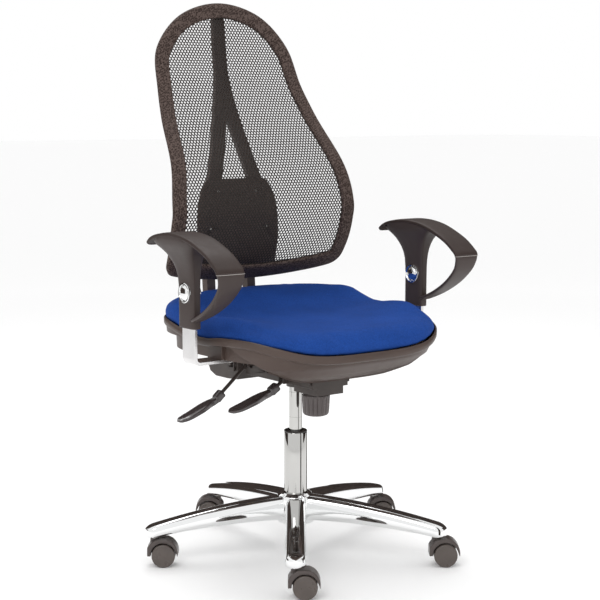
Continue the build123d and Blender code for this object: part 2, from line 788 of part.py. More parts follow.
def spine_slab(front, rear):
    near = spine_line(front)
    far = spine_line(rear)
    outline = Spline(*near) + Line(near[-1], far[-1]) + Spline(*reversed(far)) + Line(far[0], near[0])
    return from_side(make_face(outline))


def upright(width, depth, z0, z1, side):
    """A bar that leans back with the uprights, centred on their line."""
    lean = tan(radians(upright_lean))
    points = []
    for z, edge in ((z0, -1), (z0, 1), (z1, 1), (z1, -1)):
        points.append((upright_y + (z - leg_bottom) * lean + edge * depth / 2, z))
    bar = from_side(polygon(points), width / 2)
    return Pos(side * upright_x, 0, 0) * bar


def back_spine():
    """An A-shaped moulding: a mast that splits into two legs, with sockets for the back bar."""
    height = back_top - back_bottom
    half = [(15, 0.985), (16, 0.75), (22, 0.68), (32, 0.6), (44, 0.52), (58, 0.434), (72, 0.36), (82, 0.27),
            (80, 0.03)]
    right = [(x, back_bottom + height * z) for x, z in half]
    left = [(-x, z) for x, z in reversed(right)]
    mast = from_front(polygon(right + left)) & spine_slab(0, spine_thickness)
    apex = back_bottom + height * 0.583
    gap = polygon([(0, apex), (36, lumbar_top + 2), (-36, lumbar_top + 2)])
    mast -= from_front(gap)
    window = block(-upright_x + leg_width / 2 + 6, upright_x - leg_width / 2 - 6, -FAR, FAR, 0,
                   back_bottom + height * 0.09)
    mast -= window
    shape = mast
    for side in (-1, 1):
        leg = upright(leg_width, leg_depth, leg_bottom, prong_top + 20, side)
        shape += leg
        cheek_face = polygon([(lumbar_y + 116, back_bottom + height * 0.05),
                              (upright_y, back_bottom + height * 0.05),
                              (upright_y + 8, prong_top + 20), (lumbar_y + 124, prong_top + 20)])
        shape += Pos(side * upright_x, 0, 0) * from_side(cheek_face, leg_width / 2)
        foot = block(-leg_width / 2, leg_width / 2, lumbar_y + 50, lumbar_y + 122,
                     back_bottom + 7, back_bottom + 24)
        shape += Pos(side * upright_x, 0, 0) * foot
    shape -= back_slab(-FAR, rim_thickness / 2)
    for side in (-1, 1):
        shape -= upright(prong_width + 2 * slide, prong_depth + 2 * slide, 0, prong_top + 2, side)
    return shape - screw_holes()


def lumbar_plate():
    half = [(80, lumbar_top), (95, lumbar_top - 20), (106, lumbar_top - 50), (lumbar_half_width, lumbar_top - 90),
            (lumbar_half_width, lumbar_bottom + 60), (98, lumbar_bottom)]
    outline = polygon(half + [(-x, z) for x, z in reversed(half)])
    return (from_front(outline) & spine_slab(-lumbar_thickness, 0)) - screw_holes()


def back_screw_places():
    return [(side * x, z) for x, z in ((52, lumbar_top - 25), (76, lumbar_top - 108)) for side in (-1, 1)]


def back_screws():
    """Four screws that hold the lumbar plate to the spine."""
    solids = []
    for x, z in back_screw_places():
        shank = Pos(x, 0, z) * Rot(90, 0, 0) * Cylinder(screw_radius, FAR)
        solids.append(shank & spine_slab(-lumbar_thickness, spine_thickness - 2))
    return solids


def screw_holes():
    """The holes for those screws, through the plate and into the spine."""
    holes = Part()
    for x, z in back_screw_places():
        shank = Pos(x, 0, z) * Rot(90, 0, 0) * Cylinder(screw_radius, FAR)
        holes += shank & spine_slab(-lumbar_thickness, spine_thickness - 2)
    return holes


def back_bar():
    """A bar from the mechanism, bent up behind the seat, with two prongs that carry the back."""
    lean = tan(radians(upright_lean))
    bend = 46.0
    rear = upright_y + (bar_bottom + bend - leg_bottom) * lean + 9
    shape = polygon([(bar_front, bar_bottom + 3), (bar_front + 40, bar_bottom), (rear - 34, bar_bottom),
                     (rear - 12, bar_bottom + 9), (rear - 2, bar_bottom + 26), (rear + 2, bar_top + 30),
                     (rear - 16, bar_top + 30), (rear - 26, bar_top + 4), (rear - 42, bar_top),
                     (bar_front, bar_top)])
    wide = from_side(shape, bar_half_width)
    tongue = block(-tongue_half, tongue_half, back_pivot_y, bar_front + 1, axle_height - 12, axle_height + 10)
    tongue += rod(12, (-tongue_half, back_pivot_y, axle_height), (tongue_half, back_pivot_y, axle_height))
    body = wide + tongue
    body -= rod(axle_radius + running, (-FAR, back_pivot_y, axle_height), (FAR, back_pivot_y, axle_height))
    for side in (-1, 1):
        body += upright(leg_width, leg_depth - 4, bar_top + 20, leg_bottom - 6, side)
        body += upright(prong_width, prong_depth, bar_top + 20, prong_top, side)
    reach = bar_half_width + 8
    body += rod(link_radius, (-reach, link_y, axle_height), (reach, link_y, axle_height))
    return body


# ---- every sub-part in its own file ---------------------------------------------------------------
nodes = {
    "star_base": star_base(),
    "caster_stems": caster_stems(),
    "column_tube": column_tube(),
    "guide_bush": guide_bush(),
    "thrust_bearing": thrust_bearing(),
    "piston_rod": piston_rod(),
    "column_clip": column_clip(),
    "gas_cylinder": gas_cylinder(),
    "release_pin": release_pin(),
    "mechanism_housing": mechanism_housing(),
    "pivot_axles": pivot_axles(),
    "tilt_spring": tilt_spring(),
    "tension_bolt": tension_bolt(),
    "tension_knob": tension_knob(),
    "height_lever_rod": height_lever_rod(),
    "tilt_lever_rod": tilt_lever_rod(),
    "seat_panel": seat_panel(),
    "seat_shell": seat_shell(),
    "seat_cushion": seat_cushion(),
    "seat_carrier": seat_carrier(),
    "seat_screws": seat_screws(),
    "back_bar": back_bar(),
    "back_spine": back_spine(),
    "back_rim": back_rim(),
    "back_mesh": back_mesh(),
    "lumbar_plate": lumbar_plate(),
    "back_screws": back_screws(),
}
nodes["height_lever_paddle"] = paddle(height_lever_y, height_rod_end, height_tip, nodes["height_lever_rod"])
nodes["tilt_lever_paddle"] = paddle(tilt_lever_y, tilt_rod_end, tilt_tip, nodes["tilt_lever_rod"])

for number in range(1, arm_count + 1):
    nodes[f"caster_fork_{number}"] = at_caster(caster_fork(), number)
    nodes[f"caster_axle_{number}"] = at_caster(caster_axle(), number)
    nodes[f"caster_wheel_{number}_left"] = at_caster(caster_wheel("left"), number)
    nodes[f"caster_wheel_{number}_right"] = at_caster(caster_wheel("right"), number)

nodes["arm_bracket_left"] = arm_bracket()
nodes["arm_bracket_right"] = mirrored(arm_bracket())
for name, make in (("arm_frame", arm_frame), ("arm_pad", arm_pad), ("arm_button", arm_button)):
    nodes[name + "_left"] = to_left(make())
    nodes[name + "_right"] = mirrored(to_left(make()))
nodes["arm_bezels_left"] = [to_left(solid) for solid in arm_bezels()]
nodes["arm_bezels_right"] = [mirrored(to_left(solid)) for solid in arm_bezels()]

os.makedirs("parts", exist_ok=True)
for name, shape in nodes.items():
    solids = shape if isinstance(shape, list) else [shape]
    solids = [solid for piece in solids for solid in piece.solids()]
    export_step(Compound(children=solids), f"parts/{name}.step")
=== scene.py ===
from math import cos, pi, radians, sin

import bmesh
import bpy
import numpy as np
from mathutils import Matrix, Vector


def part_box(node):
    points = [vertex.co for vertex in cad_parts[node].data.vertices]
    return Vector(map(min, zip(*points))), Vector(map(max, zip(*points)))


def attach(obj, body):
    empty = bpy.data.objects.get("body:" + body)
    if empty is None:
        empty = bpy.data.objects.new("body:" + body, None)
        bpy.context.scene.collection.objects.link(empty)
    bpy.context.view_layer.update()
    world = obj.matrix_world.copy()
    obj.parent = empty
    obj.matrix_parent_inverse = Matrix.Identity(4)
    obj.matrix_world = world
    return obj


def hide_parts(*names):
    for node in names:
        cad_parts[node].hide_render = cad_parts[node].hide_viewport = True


# Swivel office chair with a net back, in metres. The origin is on the floor under the column,
# the sitter faces -Y and +X is the sitter's left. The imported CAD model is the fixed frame.
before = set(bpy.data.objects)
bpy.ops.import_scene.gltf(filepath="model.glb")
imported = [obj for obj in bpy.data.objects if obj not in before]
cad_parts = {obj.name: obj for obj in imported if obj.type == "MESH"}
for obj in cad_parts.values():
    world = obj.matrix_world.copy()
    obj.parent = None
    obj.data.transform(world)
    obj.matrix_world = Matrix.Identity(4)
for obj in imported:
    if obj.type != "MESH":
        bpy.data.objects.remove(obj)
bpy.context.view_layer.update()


# ---- camera, light and floor --------------------------------------------------------------------
# A long lens a little above the seat, to the front and right of the sitter. The studio is white all
# round, with a soft lamp on each side and one above, and hung cards that only glossy surfaces show.
camera_distance = 3.238
camera_height = 0.964
camera_azimuth = radians(37.17)
camera_pitch = radians(7.16)
place_azimuth = radians(37.0)

camera_data = bpy.data.cameras.new("camera")
camera_data.lens = 91.0
camera = bpy.data.objects.new("camera", camera_data)
camera.location = (-camera_distance * sin(place_azimuth), -camera_distance * cos(place_azimuth),
                   camera_height)
camera.rotation_euler = (pi / 2 - camera_pitch, 0, -camera_azimuth)
bpy.context.scene.collection.objects.link(camera)
bpy.context.scene.camera = camera
bpy.context.scene.view_settings.view_transform = "Standard"

world = bpy.data.worlds.new("studio")
world.use_nodes = True
world.node_tree.nodes["Background"].inputs["Color"].default_value = (1.0, 1.0, 1.0, 1.0)
world.node_tree.nodes["Background"].inputs["Strength"].default_value = 1.0
bpy.context.scene.world = world


def softbox(name, place, aim, size, watts, mirrored=True):
    """A square area lamp at place that faces aim. One that isn't mirrored makes no highlights."""
    data = bpy.data.lights.new(name, "AREA")
    data.size = size
    data.energy = watts
    lamp = bpy.data.objects.new(name, data)
    lamp.location = place
    away = np.subtract(place, aim)
    turn = np.arctan2(away[0], -away[1])
    tilt = np.arctan2(np.hypot(away[0], away[1]), away[2])
    lamp.rotation_euler = (tilt, 0, turn)
    lamp.visible_glossy = mirrored
    bpy.context.scene.collection.objects.link(lamp)


softbox("key_lamp", (-2.6, -1.6, 2.9), (0, 0, 0.6), 1.6, 30)
softbox("fill_lamp", (2.2, -2.8, 2.2), (0, 0, 0.5), 2.0, 14, mirrored=False)
softbox("top_lamp", (0.55, 1.05, 2.75), (-0.15, 0, 0.36), 1.3, 20)


def paint(name, colour, roughness, metallic=0.0, grain=0.0, grain_size=0.0006, drift=0.0, drift_size=0.05,
          wear=0.0, **sockets):
    """A finish in the piece's own space. The colour drifts by the share drift in patches of drift_size,
    the roughness by wear in finer patches, and grain is the depth of a moulded grain, in metres."""
    material = bpy.data.materials.new(name)
    material.use_nodes = True
    nodes = material.node_tree.nodes
    link = material.node_tree.links.new
    shader = nodes["Principled BSDF"]
    shader.inputs["Base Color"].default_value = (*colour, 1.0)
    shader.inputs["Roughness"].default_value = roughness
    shader.inputs["Metallic"].default_value = metallic
    for socket, value in sockets.items():
        shader.inputs[socket.replace("_", " ")].default_value = value
    place = nodes.new("ShaderNodeTexCoord").outputs["Object"]
    if drift:
        patches = nodes.new("ShaderNodeTexNoise")
        patches.inputs["Scale"].default_value = 1 / drift_size
        patches.inputs["Detail"].default_value = 4.0
        link(place, patches.inputs["Vector"])
        ramp = nodes.new("ShaderNodeValToRGB")
        ramp.color_ramp.elements[0].position = 0.3
        ramp.color_ramp.elements[1].position = 0.7
        ramp.color_ramp.elements[0].color = (*[c * (1 - drift) for c in colour], 1.0)
        ramp.color_ramp.elements[1].color = (*[min(1.0, c * (1 + drift)) for c in colour], 1.0)
        link(patches.outputs["Fac"], ramp.inputs["Fac"])
        link(ramp.outputs["Color"], shader.inputs["Base Color"])
    if wear:
        rubbed = nodes.new("ShaderNodeTexNoise")
        rubbed.inputs["Scale"].default_value = 60.0
        rubbed.inputs["Detail"].default_value = 6.0
        link(place, rubbed.inputs["Vector"])
        span = nodes.new("ShaderNodeMapRange")
        span.inputs["To Min"].default_value = max(0.0, roughness - wear)
        span.inputs["To Max"].default_value = min(1.0, roughness + wear)
        link(rubbed.outputs["Fac"], span.inputs["Value"])
        link(span.outputs["Result"], shader.inputs["Roughness"])
    if grain:
        pits = nodes.new("ShaderNodeTexVoronoi")
        pits.inputs["Scale"].default_value = 1 / grain_size
        link(place, pits.inputs["Vector"])
        bump = nodes.new("ShaderNodeBump")
        bump.inputs["Distance"].default_value = grain
        bump.inputs["Strength"].default_value = 0.6
        link(pits.outputs["Distance"], bump.inputs["Height"])
        link(bump.outputs["Normal"], shader.inputs["Normal"])
    return material


floor_paint = paint("floor_paint", (0.965, 0.965, 0.965), 0.9)
floor_half = 40.0
bpy.ops.mesh.primitive_plane_add(size=2 * floor_half)
floor = bpy.context.object
floor.name = "floor"
floor.data.materials.append(floor_paint)


def grid_faces(rows, columns, loop):
    """Four-sided faces between neighbours of a grid. loop joins the last column to the first."""
    index = np.arange(rows * columns).reshape(rows, columns)
    here = index if loop else index[:, :-1]
    beside = np.roll(index, -1, axis=1) if loop else index[:, 1:]
    return np.stack([here[:-1], beside[:-1], beside[1:], here[1:]], axis=-1).reshape(-1, 4)


def solid(name, grids, material, body, stands_for=(), loop=True, capped=True, sharp=35.0, merge=1e-6):
    """One piece made of one or more grids of points, each (rows, columns, 3). A capped grid has its
    first and last row closed by one flat face. Doubles are merged and faces turned outwards."""
    grids = grids if isinstance(grids, list) else [grids]
    points = np.concatenate([g.reshape(-1, 3) for g in grids])
    faces = []
    start = 0
    for g in grids:
        rows, columns = g.shape[:2]
        faces += (grid_faces(rows, columns, loop) + start).tolist()
        if capped:
            faces.append((start + np.arange(columns)).tolist())
            faces.append((start + (rows - 1) * columns + np.arange(columns)).tolist())
        start += rows * columns
    return from_faces(name, points, faces, material, body, stands_for, sharp, merge)


def from_faces(name, points, faces, material, body, stands_for=(), sharp=35.0, merge=1e-6):
    """A piece from its points and faces, cleaned, smooth except over edges sharper than sharp."""
    mesh = bpy.data.meshes.new(name)
    mesh.from_pydata(points.tolist(), [], faces)
    shape = bmesh.new()
    shape.from_mesh(mesh)
    bmesh.ops.remove_doubles(shape, verts=shape.verts, dist=merge)
    bmesh.ops.dissolve_degenerate(shape, edges=shape.edges, dist=merge)
    bmesh.ops.recalc_face_normals(shape, faces=shape.faces)
    shape.to_mesh(mesh)
    shape.free()
    mesh.polygons.foreach_set("use_smooth", np.ones(len(mesh.polygons), bool))
    mesh.set_sharp_from_angle(angle=radians(sharp))
    mesh.materials.append(material)
    piece = bpy.data.objects.new(name, mesh)
    bpy.context.scene.collection.objects.link(piece)
    if body:
        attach(piece, body)
    if stands_for:
        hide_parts(*stands_for)
    return piece


def hung_card(name, material, radius, low, high, start, stop):
    """An upright card, part of a cylinder round the chair, from the angle start to stop in degrees
    and from low to high. The camera and the other pieces' soft light miss it: only gloss shows it."""
    turn = np.linspace(radians(start), radians(stop), 24)
    edge = np.stack([radius * np.cos(turn), radius * np.sin(turn), 0 * turn], axis=1)
    grid = np.stack([edge + (0, 0, low), edge + (0, 0, high)])
    card = solid(name, grid, material, None, loop=False, capped=False)
    card.visible_camera = False
    card.visible_diffuse = False
    card.visible_shadow = False


dark_card = paint("dark_card_paint", (0.030, 0.020, 0.016), 0.9)
hung_card("far_dark_card", dark_card, 5.0, 0.30, 4.2, -48, 112)
hung_card("left_dark_card", dark_card, 0.56, 0.0, 0.75, -306, -288)
hung_card("right_dark_card", dark_card, 0.56, 0.0, 0.75, -80, -69)
hung_card("edge_dark_card", dark_card, 0.56, 0.0, 0.75, 8, 44)
hung_card("button_dark_card", dark_card, 3.4, 0.16, 1.30, 104, 152)


# ---- star base ------------------------------------------------------------------------------------
# Five pressed steel arms welded to a hub and chrome plated as one. Each arm is an inverted channel,
# arched, with a closed round tip that takes the caster's stem in a boss.
chrome = paint("chrome", (0.86, 0.865, 0.865), 0.04, 1.0, drift=0.02, drift_size=0.08, wear=0.015)
zinc = paint("zinc", (0.50, 0.49, 0.47), 0.32, 1.0, drift=0.15, drift_size=0.02, wear=0.12)

arm_count = 5
first_arm = radians(37.0)
base_low, base_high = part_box("star_base")
base_radius = 0.315
tip_half = 0.0205
tip_bottom = 0.064
tip_height = 0.021
root_bottom = 0.080
root_top = base_high.z - 0.004
hub_radius = 0.0415
plate_wall = 0.0022
top_arch = 0.0088
bottom_arch = 0.0085
section_power = 0.46
tip_drop = 0.004
root_spread = 0.12
lobe_depth = 0.20
lobe_angle = radians(33)
lobe_width = radians(3.4)


def turned(profile, centre, axis=(0, 0, 1), count=64):
    """A profile of (radius, height) pairs spun about an axis through centre."""
    profile = np.array(profile, float)
    axis = np.array(axis, float) / np.linalg.norm(axis)
    helper = np.array([0, 0, 1.0]) if abs(axis[2]) < 0.9 else np.array([1.0, 0, 0])
    one = np.cross(helper, axis)
    one /= np.linalg.norm(one)
    two = np.cross(axis, one)
    t = np.arange(count) * 2 * pi / count
    spoke = np.cos(t)[:, None] * one + np.sin(t)[:, None] * two
    radius = profile[:, 0, None, None]
    height = profile[:, 1, None, None]
    return np.array(centre) + radius * spoke[None] + height * axis


def chair_turn(points, angle):
    """Turn points about the column by angle, counter-clockwise from above."""
    c, s = cos(angle), sin(angle)
    return points @ np.array([[c, s, 0], [-s, c, 0], [0, 0, 1]])


def base_arm():
    """An arm along +X. Its section is half a rounded square, open below. The width follows a half
    circle at the tip, and top and bottom edges are arcs from the hub to the tip."""
    end = base_radius + tip_half
    straight = np.linspace(hub_radius * 0.6, base_radius, 150)
    nose = base_radius + tip_half * np.sin(np.linspace(0, pi / 2, 24))[1:]
    s = np.concatenate([straight, nose])
    share = s / end
    half = np.where(s > base_radius, np.sqrt(np.maximum(tip_half ** 2 - (s - base_radius) ** 2, 0)), tip_half)
    half = half * (1 + root_spread * (1 - share))
    arch = 4 * share * (1 - share)
    top = root_top + (tip_bottom + tip_height - root_top) * share + top_arch * arch
    bottom = root_bottom + (tip_bottom - root_bottom) * share + bottom_arch * arch
    top = top - tip_drop * np.clip((s - base_radius) / tip_half, 0, 1) ** 2
    t = np.linspace(0, pi, 57)
    across = np.cos(t)
    across = np.sign(across) * np.abs(across) ** section_power
    up = np.abs(np.sin(t)) ** section_power
    flank = 1 + 0.05 * (1 - up)
    grid = np.zeros((len(s), len(t), 3))
    grid[..., 0] = s[:, None]
    grid[..., 1] = half[:, None] * across * flank
    grid[..., 2] = bottom[:, None] + (top - bottom)[:, None] * up
    return grid


arm_angles = [-pi / 2 - first_arm - 2 * pi / arm_count * k for k in range(arm_count)]
arms = solid("base_arms", [chair_turn(base_arm(), a) for a in arm_angles], chrome, "base",
             ["star_base"], loop=False, capped=False, sharp=60)
wall = arms.modifiers.new("plate", "SOLIDIFY")
wall.thickness = plate_wall
wall.offset = -1

hub_top = base_high.z
hub_bottom = base_low.z + 0.006
hub_points = 160
hub_turn = np.arange(hub_points) * 2 * pi / hub_points
off_arm = np.abs((hub_turn - arm_angles[0] + pi / arm_count) % (2 * pi / arm_count) - pi / arm_count)
lobes = 1 - lobe_depth * np.exp(-((off_arm - lobe_angle) / lobe_width) ** 2)
hub_profile = [(0.0258, hub_bottom), (0.036, hub_bottom), (0.0395, hub_bottom + 0.0015),
               (hub_radius, hub_bottom + 0.005), (hub_radius, hub_top - 0.012), (0.0405, hub_top - 0.006),
               (0.0375, hub_top - 0.0025), (0.034, hub_top - 0.0012), (0.0325, hub_top + 0.001),
               (0.0295, hub_top + 0.0022), (0.0268, hub_top + 0.0018), (0.0258, hub_top)]
hub_profile = np.array(hub_profile)
hub_grid = turned(hub_profile, (0, 0, 0), count=hub_points)
waisted = (hub_profile[:, 0] > 0.0345)[:, None, None]
hub_grid[..., :2] *= np.where(waisted, lobes[None, :, None], 1.0)
hub_grid = np.concatenate([hub_grid, hub_grid[:1]])
solid("base_hub", hub_grid, chrome, "base", capped=False, sharp=40)

boss_profile = [(0.0062, tip_bottom + 0.001), (0.0098, tip_bottom + 0.001), (0.0105, tip_bottom + 0.002),
                (0.0105, tip_bottom + 0.0165), (0.0062, tip_bottom + 0.0165)]
boss_places = [(base_radius * cos(a), base_radius * sin(a), 0) for a in arm_angles]
boss_grids = []
for place in boss_places:
    boss = turned(boss_profile, place, count=32)
    boss_grids.append(np.concatenate([boss, boss[:1]]))
solid("stem_bosses", boss_grids, chrome, "base", capped=False)


# ---- casters --------------------------------------------------------------------------------------
# Twin-wheel nylon casters. A steel stem with a flange is pressed into the arm's boss. The hood covers
# the wheels' top and trailing side, and a web between the wheels holds the steel axle.
caster_nylon = paint("caster_nylon", (0.064, 0.050, 0.046), 0.34, grain=0.00004, grain_size=0.0009,
                     drift=0.12, drift_size=0.03, wear=0.08)
wheel_nylon = paint("wheel_nylon", (0.082, 0.066, 0.058), 0.30, grain=0.00003, grain_size=0.0011, drift=0.10,
                    drift_size=0.02, wear=0.10)
caster_turns = [radians(a) for a in (-37, -37, 143, -37, -37)]
wheel_radius = 0.025
wheel_trail = 0.019
wheel_gap = 0.0083
hood_inner = 0.0268
hood_half = 0.0198
hood_rise = 0.0352
hood_front = 0.0345


def caster_place(points, number):
    """Move points from the caster's own space, stem on the Z axis and wheels trailing along +X."""
    return chair_turn(points, caster_turns[number]) + np.array(boss_places[number])


def rounded(count, power):
    """A unit rounded square as (count, 2): the cosine and sine, each raised to 2 / power."""
    t = np.arange(count) * 2 * pi / count
    ring = np.stack([np.cos(t), np.sin(t)], axis=1)
    return np.sign(ring) * np.abs(ring) ** (2 / power)


def caster_hood():
    """A block bored for the wheels: from a thin tail behind, over the top, which is level under the
    stem's flange, to an upright front wall that ends at the height of the axle."""
    turn = np.linspace(radians(-2), radians(181), 64)
    square = ((np.abs(np.sin(turn)) / hood_rise) ** 9 + (np.abs(np.cos(turn)) / hood_front) ** 9) ** (-1 / 9)
    tail = np.interp(np.degrees(turn), (-2, 30, 58, 76, 90), (0.0302, 0.0330, 0.0352, 0.0360, 0.0380))
    outer = np.minimum(square, tail)
    inner = np.interp(np.degrees(turn), (-2, 20), (0.0292, hood_inner))
    ring = rounded(28, 9)
    radius = ((outer + inner) / 2)[:, None] + ((outer - inner) / 2)[:, None] * ring[:, 1]
    grid = np.zeros((len(turn), 28, 3))
    grid[..., 0] = wheel_trail + radius * np.cos(turn)[:, None]
    grid[..., 1] = hood_half * ring[:, 0]
    grid[..., 2] = wheel_radius + radius * np.sin(turn)[:, None]
    return grid


def caster_web():
    """The upright between the wheels: long in the middle, round at the stem."""
    z = np.array([0.010, 0.0115, 0.015, 0.030, 0.040, 0.046, 0.052, 0.0560, 0.0600, 0.0604])
    middle = np.array([0.018, 0.018, 0.018, 0.014, 0.010, 0.008, 0.003, 0.0, 0.0, 0.0])
    long = np.array([0.010, 0.013, 0.017, 0.0225, 0.0215, 0.0180, 0.0130, 0.0098, 0.0094, 0.0088])
    wide = np.array([0.0055, 0.0068, 0.0074, 0.0075, 0.0075, 0.0075, 0.0085, 0.0096, 0.0094, 0.0088])
    ring = rounded(40, 2.6)
    grid = np.zeros((len(z), 40, 3))
    grid[..., 0] = middle[:, None] + long[:, None] * ring[:, 0]
    grid[..., 1] = wide[:, None] * ring[:, 1]
    grid[..., 2] = z[:, None]
    return grid


wheel_profile = [(0.0034, 0.0), (0.0215, 0.0), (0.0228, 0.0008), (0.0243, 0.0016), (0.0249, 0.0030),
                 (0.0250, 0.0050), (0.0250, 0.0105), (0.0249, 0.0122), (0.0245, 0.0136), (0.0238, 0.0147),
                 (0.0228, 0.0153), (0.0219, 0.0155), (0.0214, 0.0154), (0.0211, 0.0152), (0.0206, 0.0152),
                 (0.0150, 0.0153), (0.0, 0.0154)]
for number in range(arm_count):
    name = f"caster_{number + 1}"
    shell_grids = [caster_place(caster_hood(), number), caster_place(caster_web(), number)]
    solid(f"{name}_hood", shell_grids, caster_nylon, name, [f"caster_fork_{number + 1}"])
    for side, sign in (("left", 1), ("right", -1)):
        wheel = turned(wheel_profile, (0, 0, 0), (0, -sign, 0), 64)
        wheel += np.array([wheel_trail, -sign * wheel_gap, wheel_radius])
        wheel_body = f"caster_wheel_{number + 1}_{side}"
        solid(f"{name}_wheel_{side}", caster_place(wheel, number), wheel_nylon, wheel_body,
              [wheel_body], sharp=28)


def dress(node, material, ease=0.0):
    """Give a CAD node its finish, and ease its edges by a small bevel of that width."""
    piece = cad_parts[node]
    piece.data.materials.clear()
    piece.data.materials.append(material)
    if ease:
        weld = piece.modifiers.new("weld", "WELD")
        weld.merge_threshold = 1e-5
        bevel = piece.modifiers.new("eased_edges", "BEVEL")
        bevel.width = ease
        bevel.segments = 3
        bevel.limit_method = "ANGLE"
        bevel.angle_limit = radians(38)
        bevel.harden_normals = True


dress("caster_stems", zinc)
for number in range(1, arm_count + 1):
    dress(f"caster_axle_{number}", zinc)


# ---- gas lift -------------------------------------------------------------------------------------
# A chrome-plated outer tube pressed in the hub, with an acetal bush at its mouth, and a gas cylinder
# that slides and turns in it. Two fine grooves mark the cylinder. The piston rod stands inside.
acetal = paint("acetal", (0.028, 0.023, 0.021), 0.35, drift=0.1, drift_size=0.02, wear=0.06)
# A darker copy of the chrome for the tube and the gas spring: painted shade standing in for the dimmer
# reflections on the column.
shaded_tube_chrome = paint("shaded_tube_chrome", (0.54, 0.535, 0.52), 0.05, 1.0, drift=0.02, drift_size=0.08, wear=0.015)
tube_low, tube_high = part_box("column_tube")
tube_radius = tube_high.x
cylinder_low, cylinder_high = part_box("gas_cylinder")
cylinder_radius = cylinder_high.x
tube_wall = 0.002
tube_profile = np.array([(tube_radius, tube_low.z), (tube_radius, 0.14), (tube_radius, 0.2),
                         (tube_radius, tube_high.z - 0.002), (tube_radius - 0.0007, tube_high.z - 0.0005),
                         (tube_radius - tube_wall, tube_high.z), (tube_radius - tube_wall, tube_low.z)])
tube_profile = np.concatenate([tube_profile, tube_profile[:1]])
solid("lift_tube", turned(tube_profile, (0, 0, 0), count=96), shaded_tube_chrome, "base", ["column_tube"],
      capped=False, sharp=30)
bush_low, bush_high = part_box("guide_bush")
bush_bore = cylinder_radius + 0.0002
lip = tube_high.z
bush_profile = np.array([(bush_bore, bush_low.z), (tube_radius - tube_wall, bush_low.z),
                         (tube_radius - tube_wall, lip), (tube_radius - 0.0003, lip),
                         (tube_radius + 0.0003, lip + 0.001), (tube_radius, bush_high.z - 0.0012),
                         (tube_radius - 0.0015, bush_high.z), (bush_bore + 0.002, bush_high.z),
                         (bush_bore, bush_high.z - 0.002), (bush_bore, bush_low.z)])
solid("lift_bush", turned(bush_profile, (0, 0, 0), count=96), acetal, "base", ["guide_bush"],
      capped=False, sharp=30)
groove_heights = (0.303, 0.358)
cylinder_profile = [(0.0052, cylinder_low.z), (cylinder_radius - 0.001, cylinder_low.z),
                    (cylinder_radius, cylinder_low.z + 0.001)]
for z in groove_heights:
    cylinder_profile += [(cylinder_radius, z - 0.0006), (cylinder_radius - 0.0004, z - 0.0003),
                         (cylinder_radius - 0.0004, z + 0.0003), (cylinder_radius, z + 0.0006)]
cylinder_profile += [(cylinder_radius, 0.374), (0.0125, cylinder_high.z), (0.0042, cylinder_high.z),
                     (0.0042, 0.400), (0.0052, 0.344), (0.0052, cylinder_low.z)]
solid("gas_spring", turned(cylinder_profile, (0, 0, 0), count=96), shaded_tube_chrome, "mechanism",
      ["gas_cylinder"], capped=False, sharp=30)
for node in ("thrust_bearing", "piston_rod", "column_clip", "release_pin"):
    dress(node, zinc)


# ---- tilt mechanism -------------------------------------------------------------------------------
# A pressed steel pan, powder coated black, that holds the gas spring's taper, both pivot axles, the
# tilt spring on its bolt, and the ribbed knob that sets the spring's tension.
powder_coat = paint("powder_coat", (0.052, 0.040, 0.035), 0.40, grain=0.00008, grain_size=0.0012, drift=0.15,
                    drift_size=0.04, wear=0.10)
moulded = paint("moulded_plastic", (0.070, 0.047, 0.039), 0.36, grain=0.00005, grain_size=0.0010, drift=0.08,
                drift_size=0.06, wear=0.07)
dress("mechanism_housing", powder_coat, 0.0012)
for node in ("pivot_axles", "tilt_spring", "tension_bolt"):
    dress(node, zinc)

knob_plastic = paint("knob_plastic", (0.088, 0.072, 0.070), 0.26, drift=0.08, drift_size=0.02, wear=0.05)
knob_low, knob_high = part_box("tension_knob")
knob_centre = ((knob_low.x + knob_high.x) / 2, (knob_low.y + knob_high.y) / 2, 0)
knob_flutes = 18
flute_points = 10
knob_top_radius = (knob_high.x - knob_low.x) / 2 - 0.0002
flute_depth = 0.0024
knob_profile = np.array([(0.0, 0.0), (0.010, 0.0006), (0.018, 0.0020), (0.0235, 0.0042), (0.0258, 0.0068),
                         (0.0266, 0.0095), (0.0272, 0.016), (0.0280, 0.030), (0.0287, 0.042),
                         (0.0288, 0.0450), (0.0282, 0.0470), (0.0262, 0.0476), (0.0255, 0.0500),
                         (0.0235, 0.0510), (0.0, 0.0510)])
knob_profile[:, 0] *= knob_top_radius / knob_profile[:, 0].max()
knob_grid = turned(knob_profile + (0, knob_low.z), knob_centre, count=knob_flutes * flute_points)
flute_phase = np.arange(knob_flutes * flute_points) * 2 * pi / flute_points
flute = flute_depth * (np.abs(np.cos(flute_phase / 2)) ** 0.7 - 1)
fluted = np.interp(knob_profile[:, 1], (0.004, 0.008, 0.043, 0.0455), (0, 1, 1, 0))
shrink = 1 + fluted[:, None] * flute[None] / knob_top_radius
knob_xy = np.array(knob_centre[:2])
knob_grid[..., :2] = knob_xy + (knob_grid[..., :2] - knob_xy) * shrink[..., None]
solid("tension_grip", knob_grid, knob_plastic, "tension_knob", ["tension_knob"], sharp=50)


# ---- levers ---------------------------------------------------------------------------------------
# Two bent steel rods on the sitter's right, each with a glossy moulded paddle: a square socket that
# grips the rod, a waist, and a dished leaf with a rounded tip.
gloss = paint("gloss_plastic", (0.050, 0.040, 0.040), 0.16, drift=0.1, drift_size=0.02, wear=0.03,
              Coat_Weight=0.6, Coat_Roughness=0.05)
leaf_roll = radians(20)
dress("height_lever_rod", powder_coat)
dress("tilt_lever_rod", powder_coat)


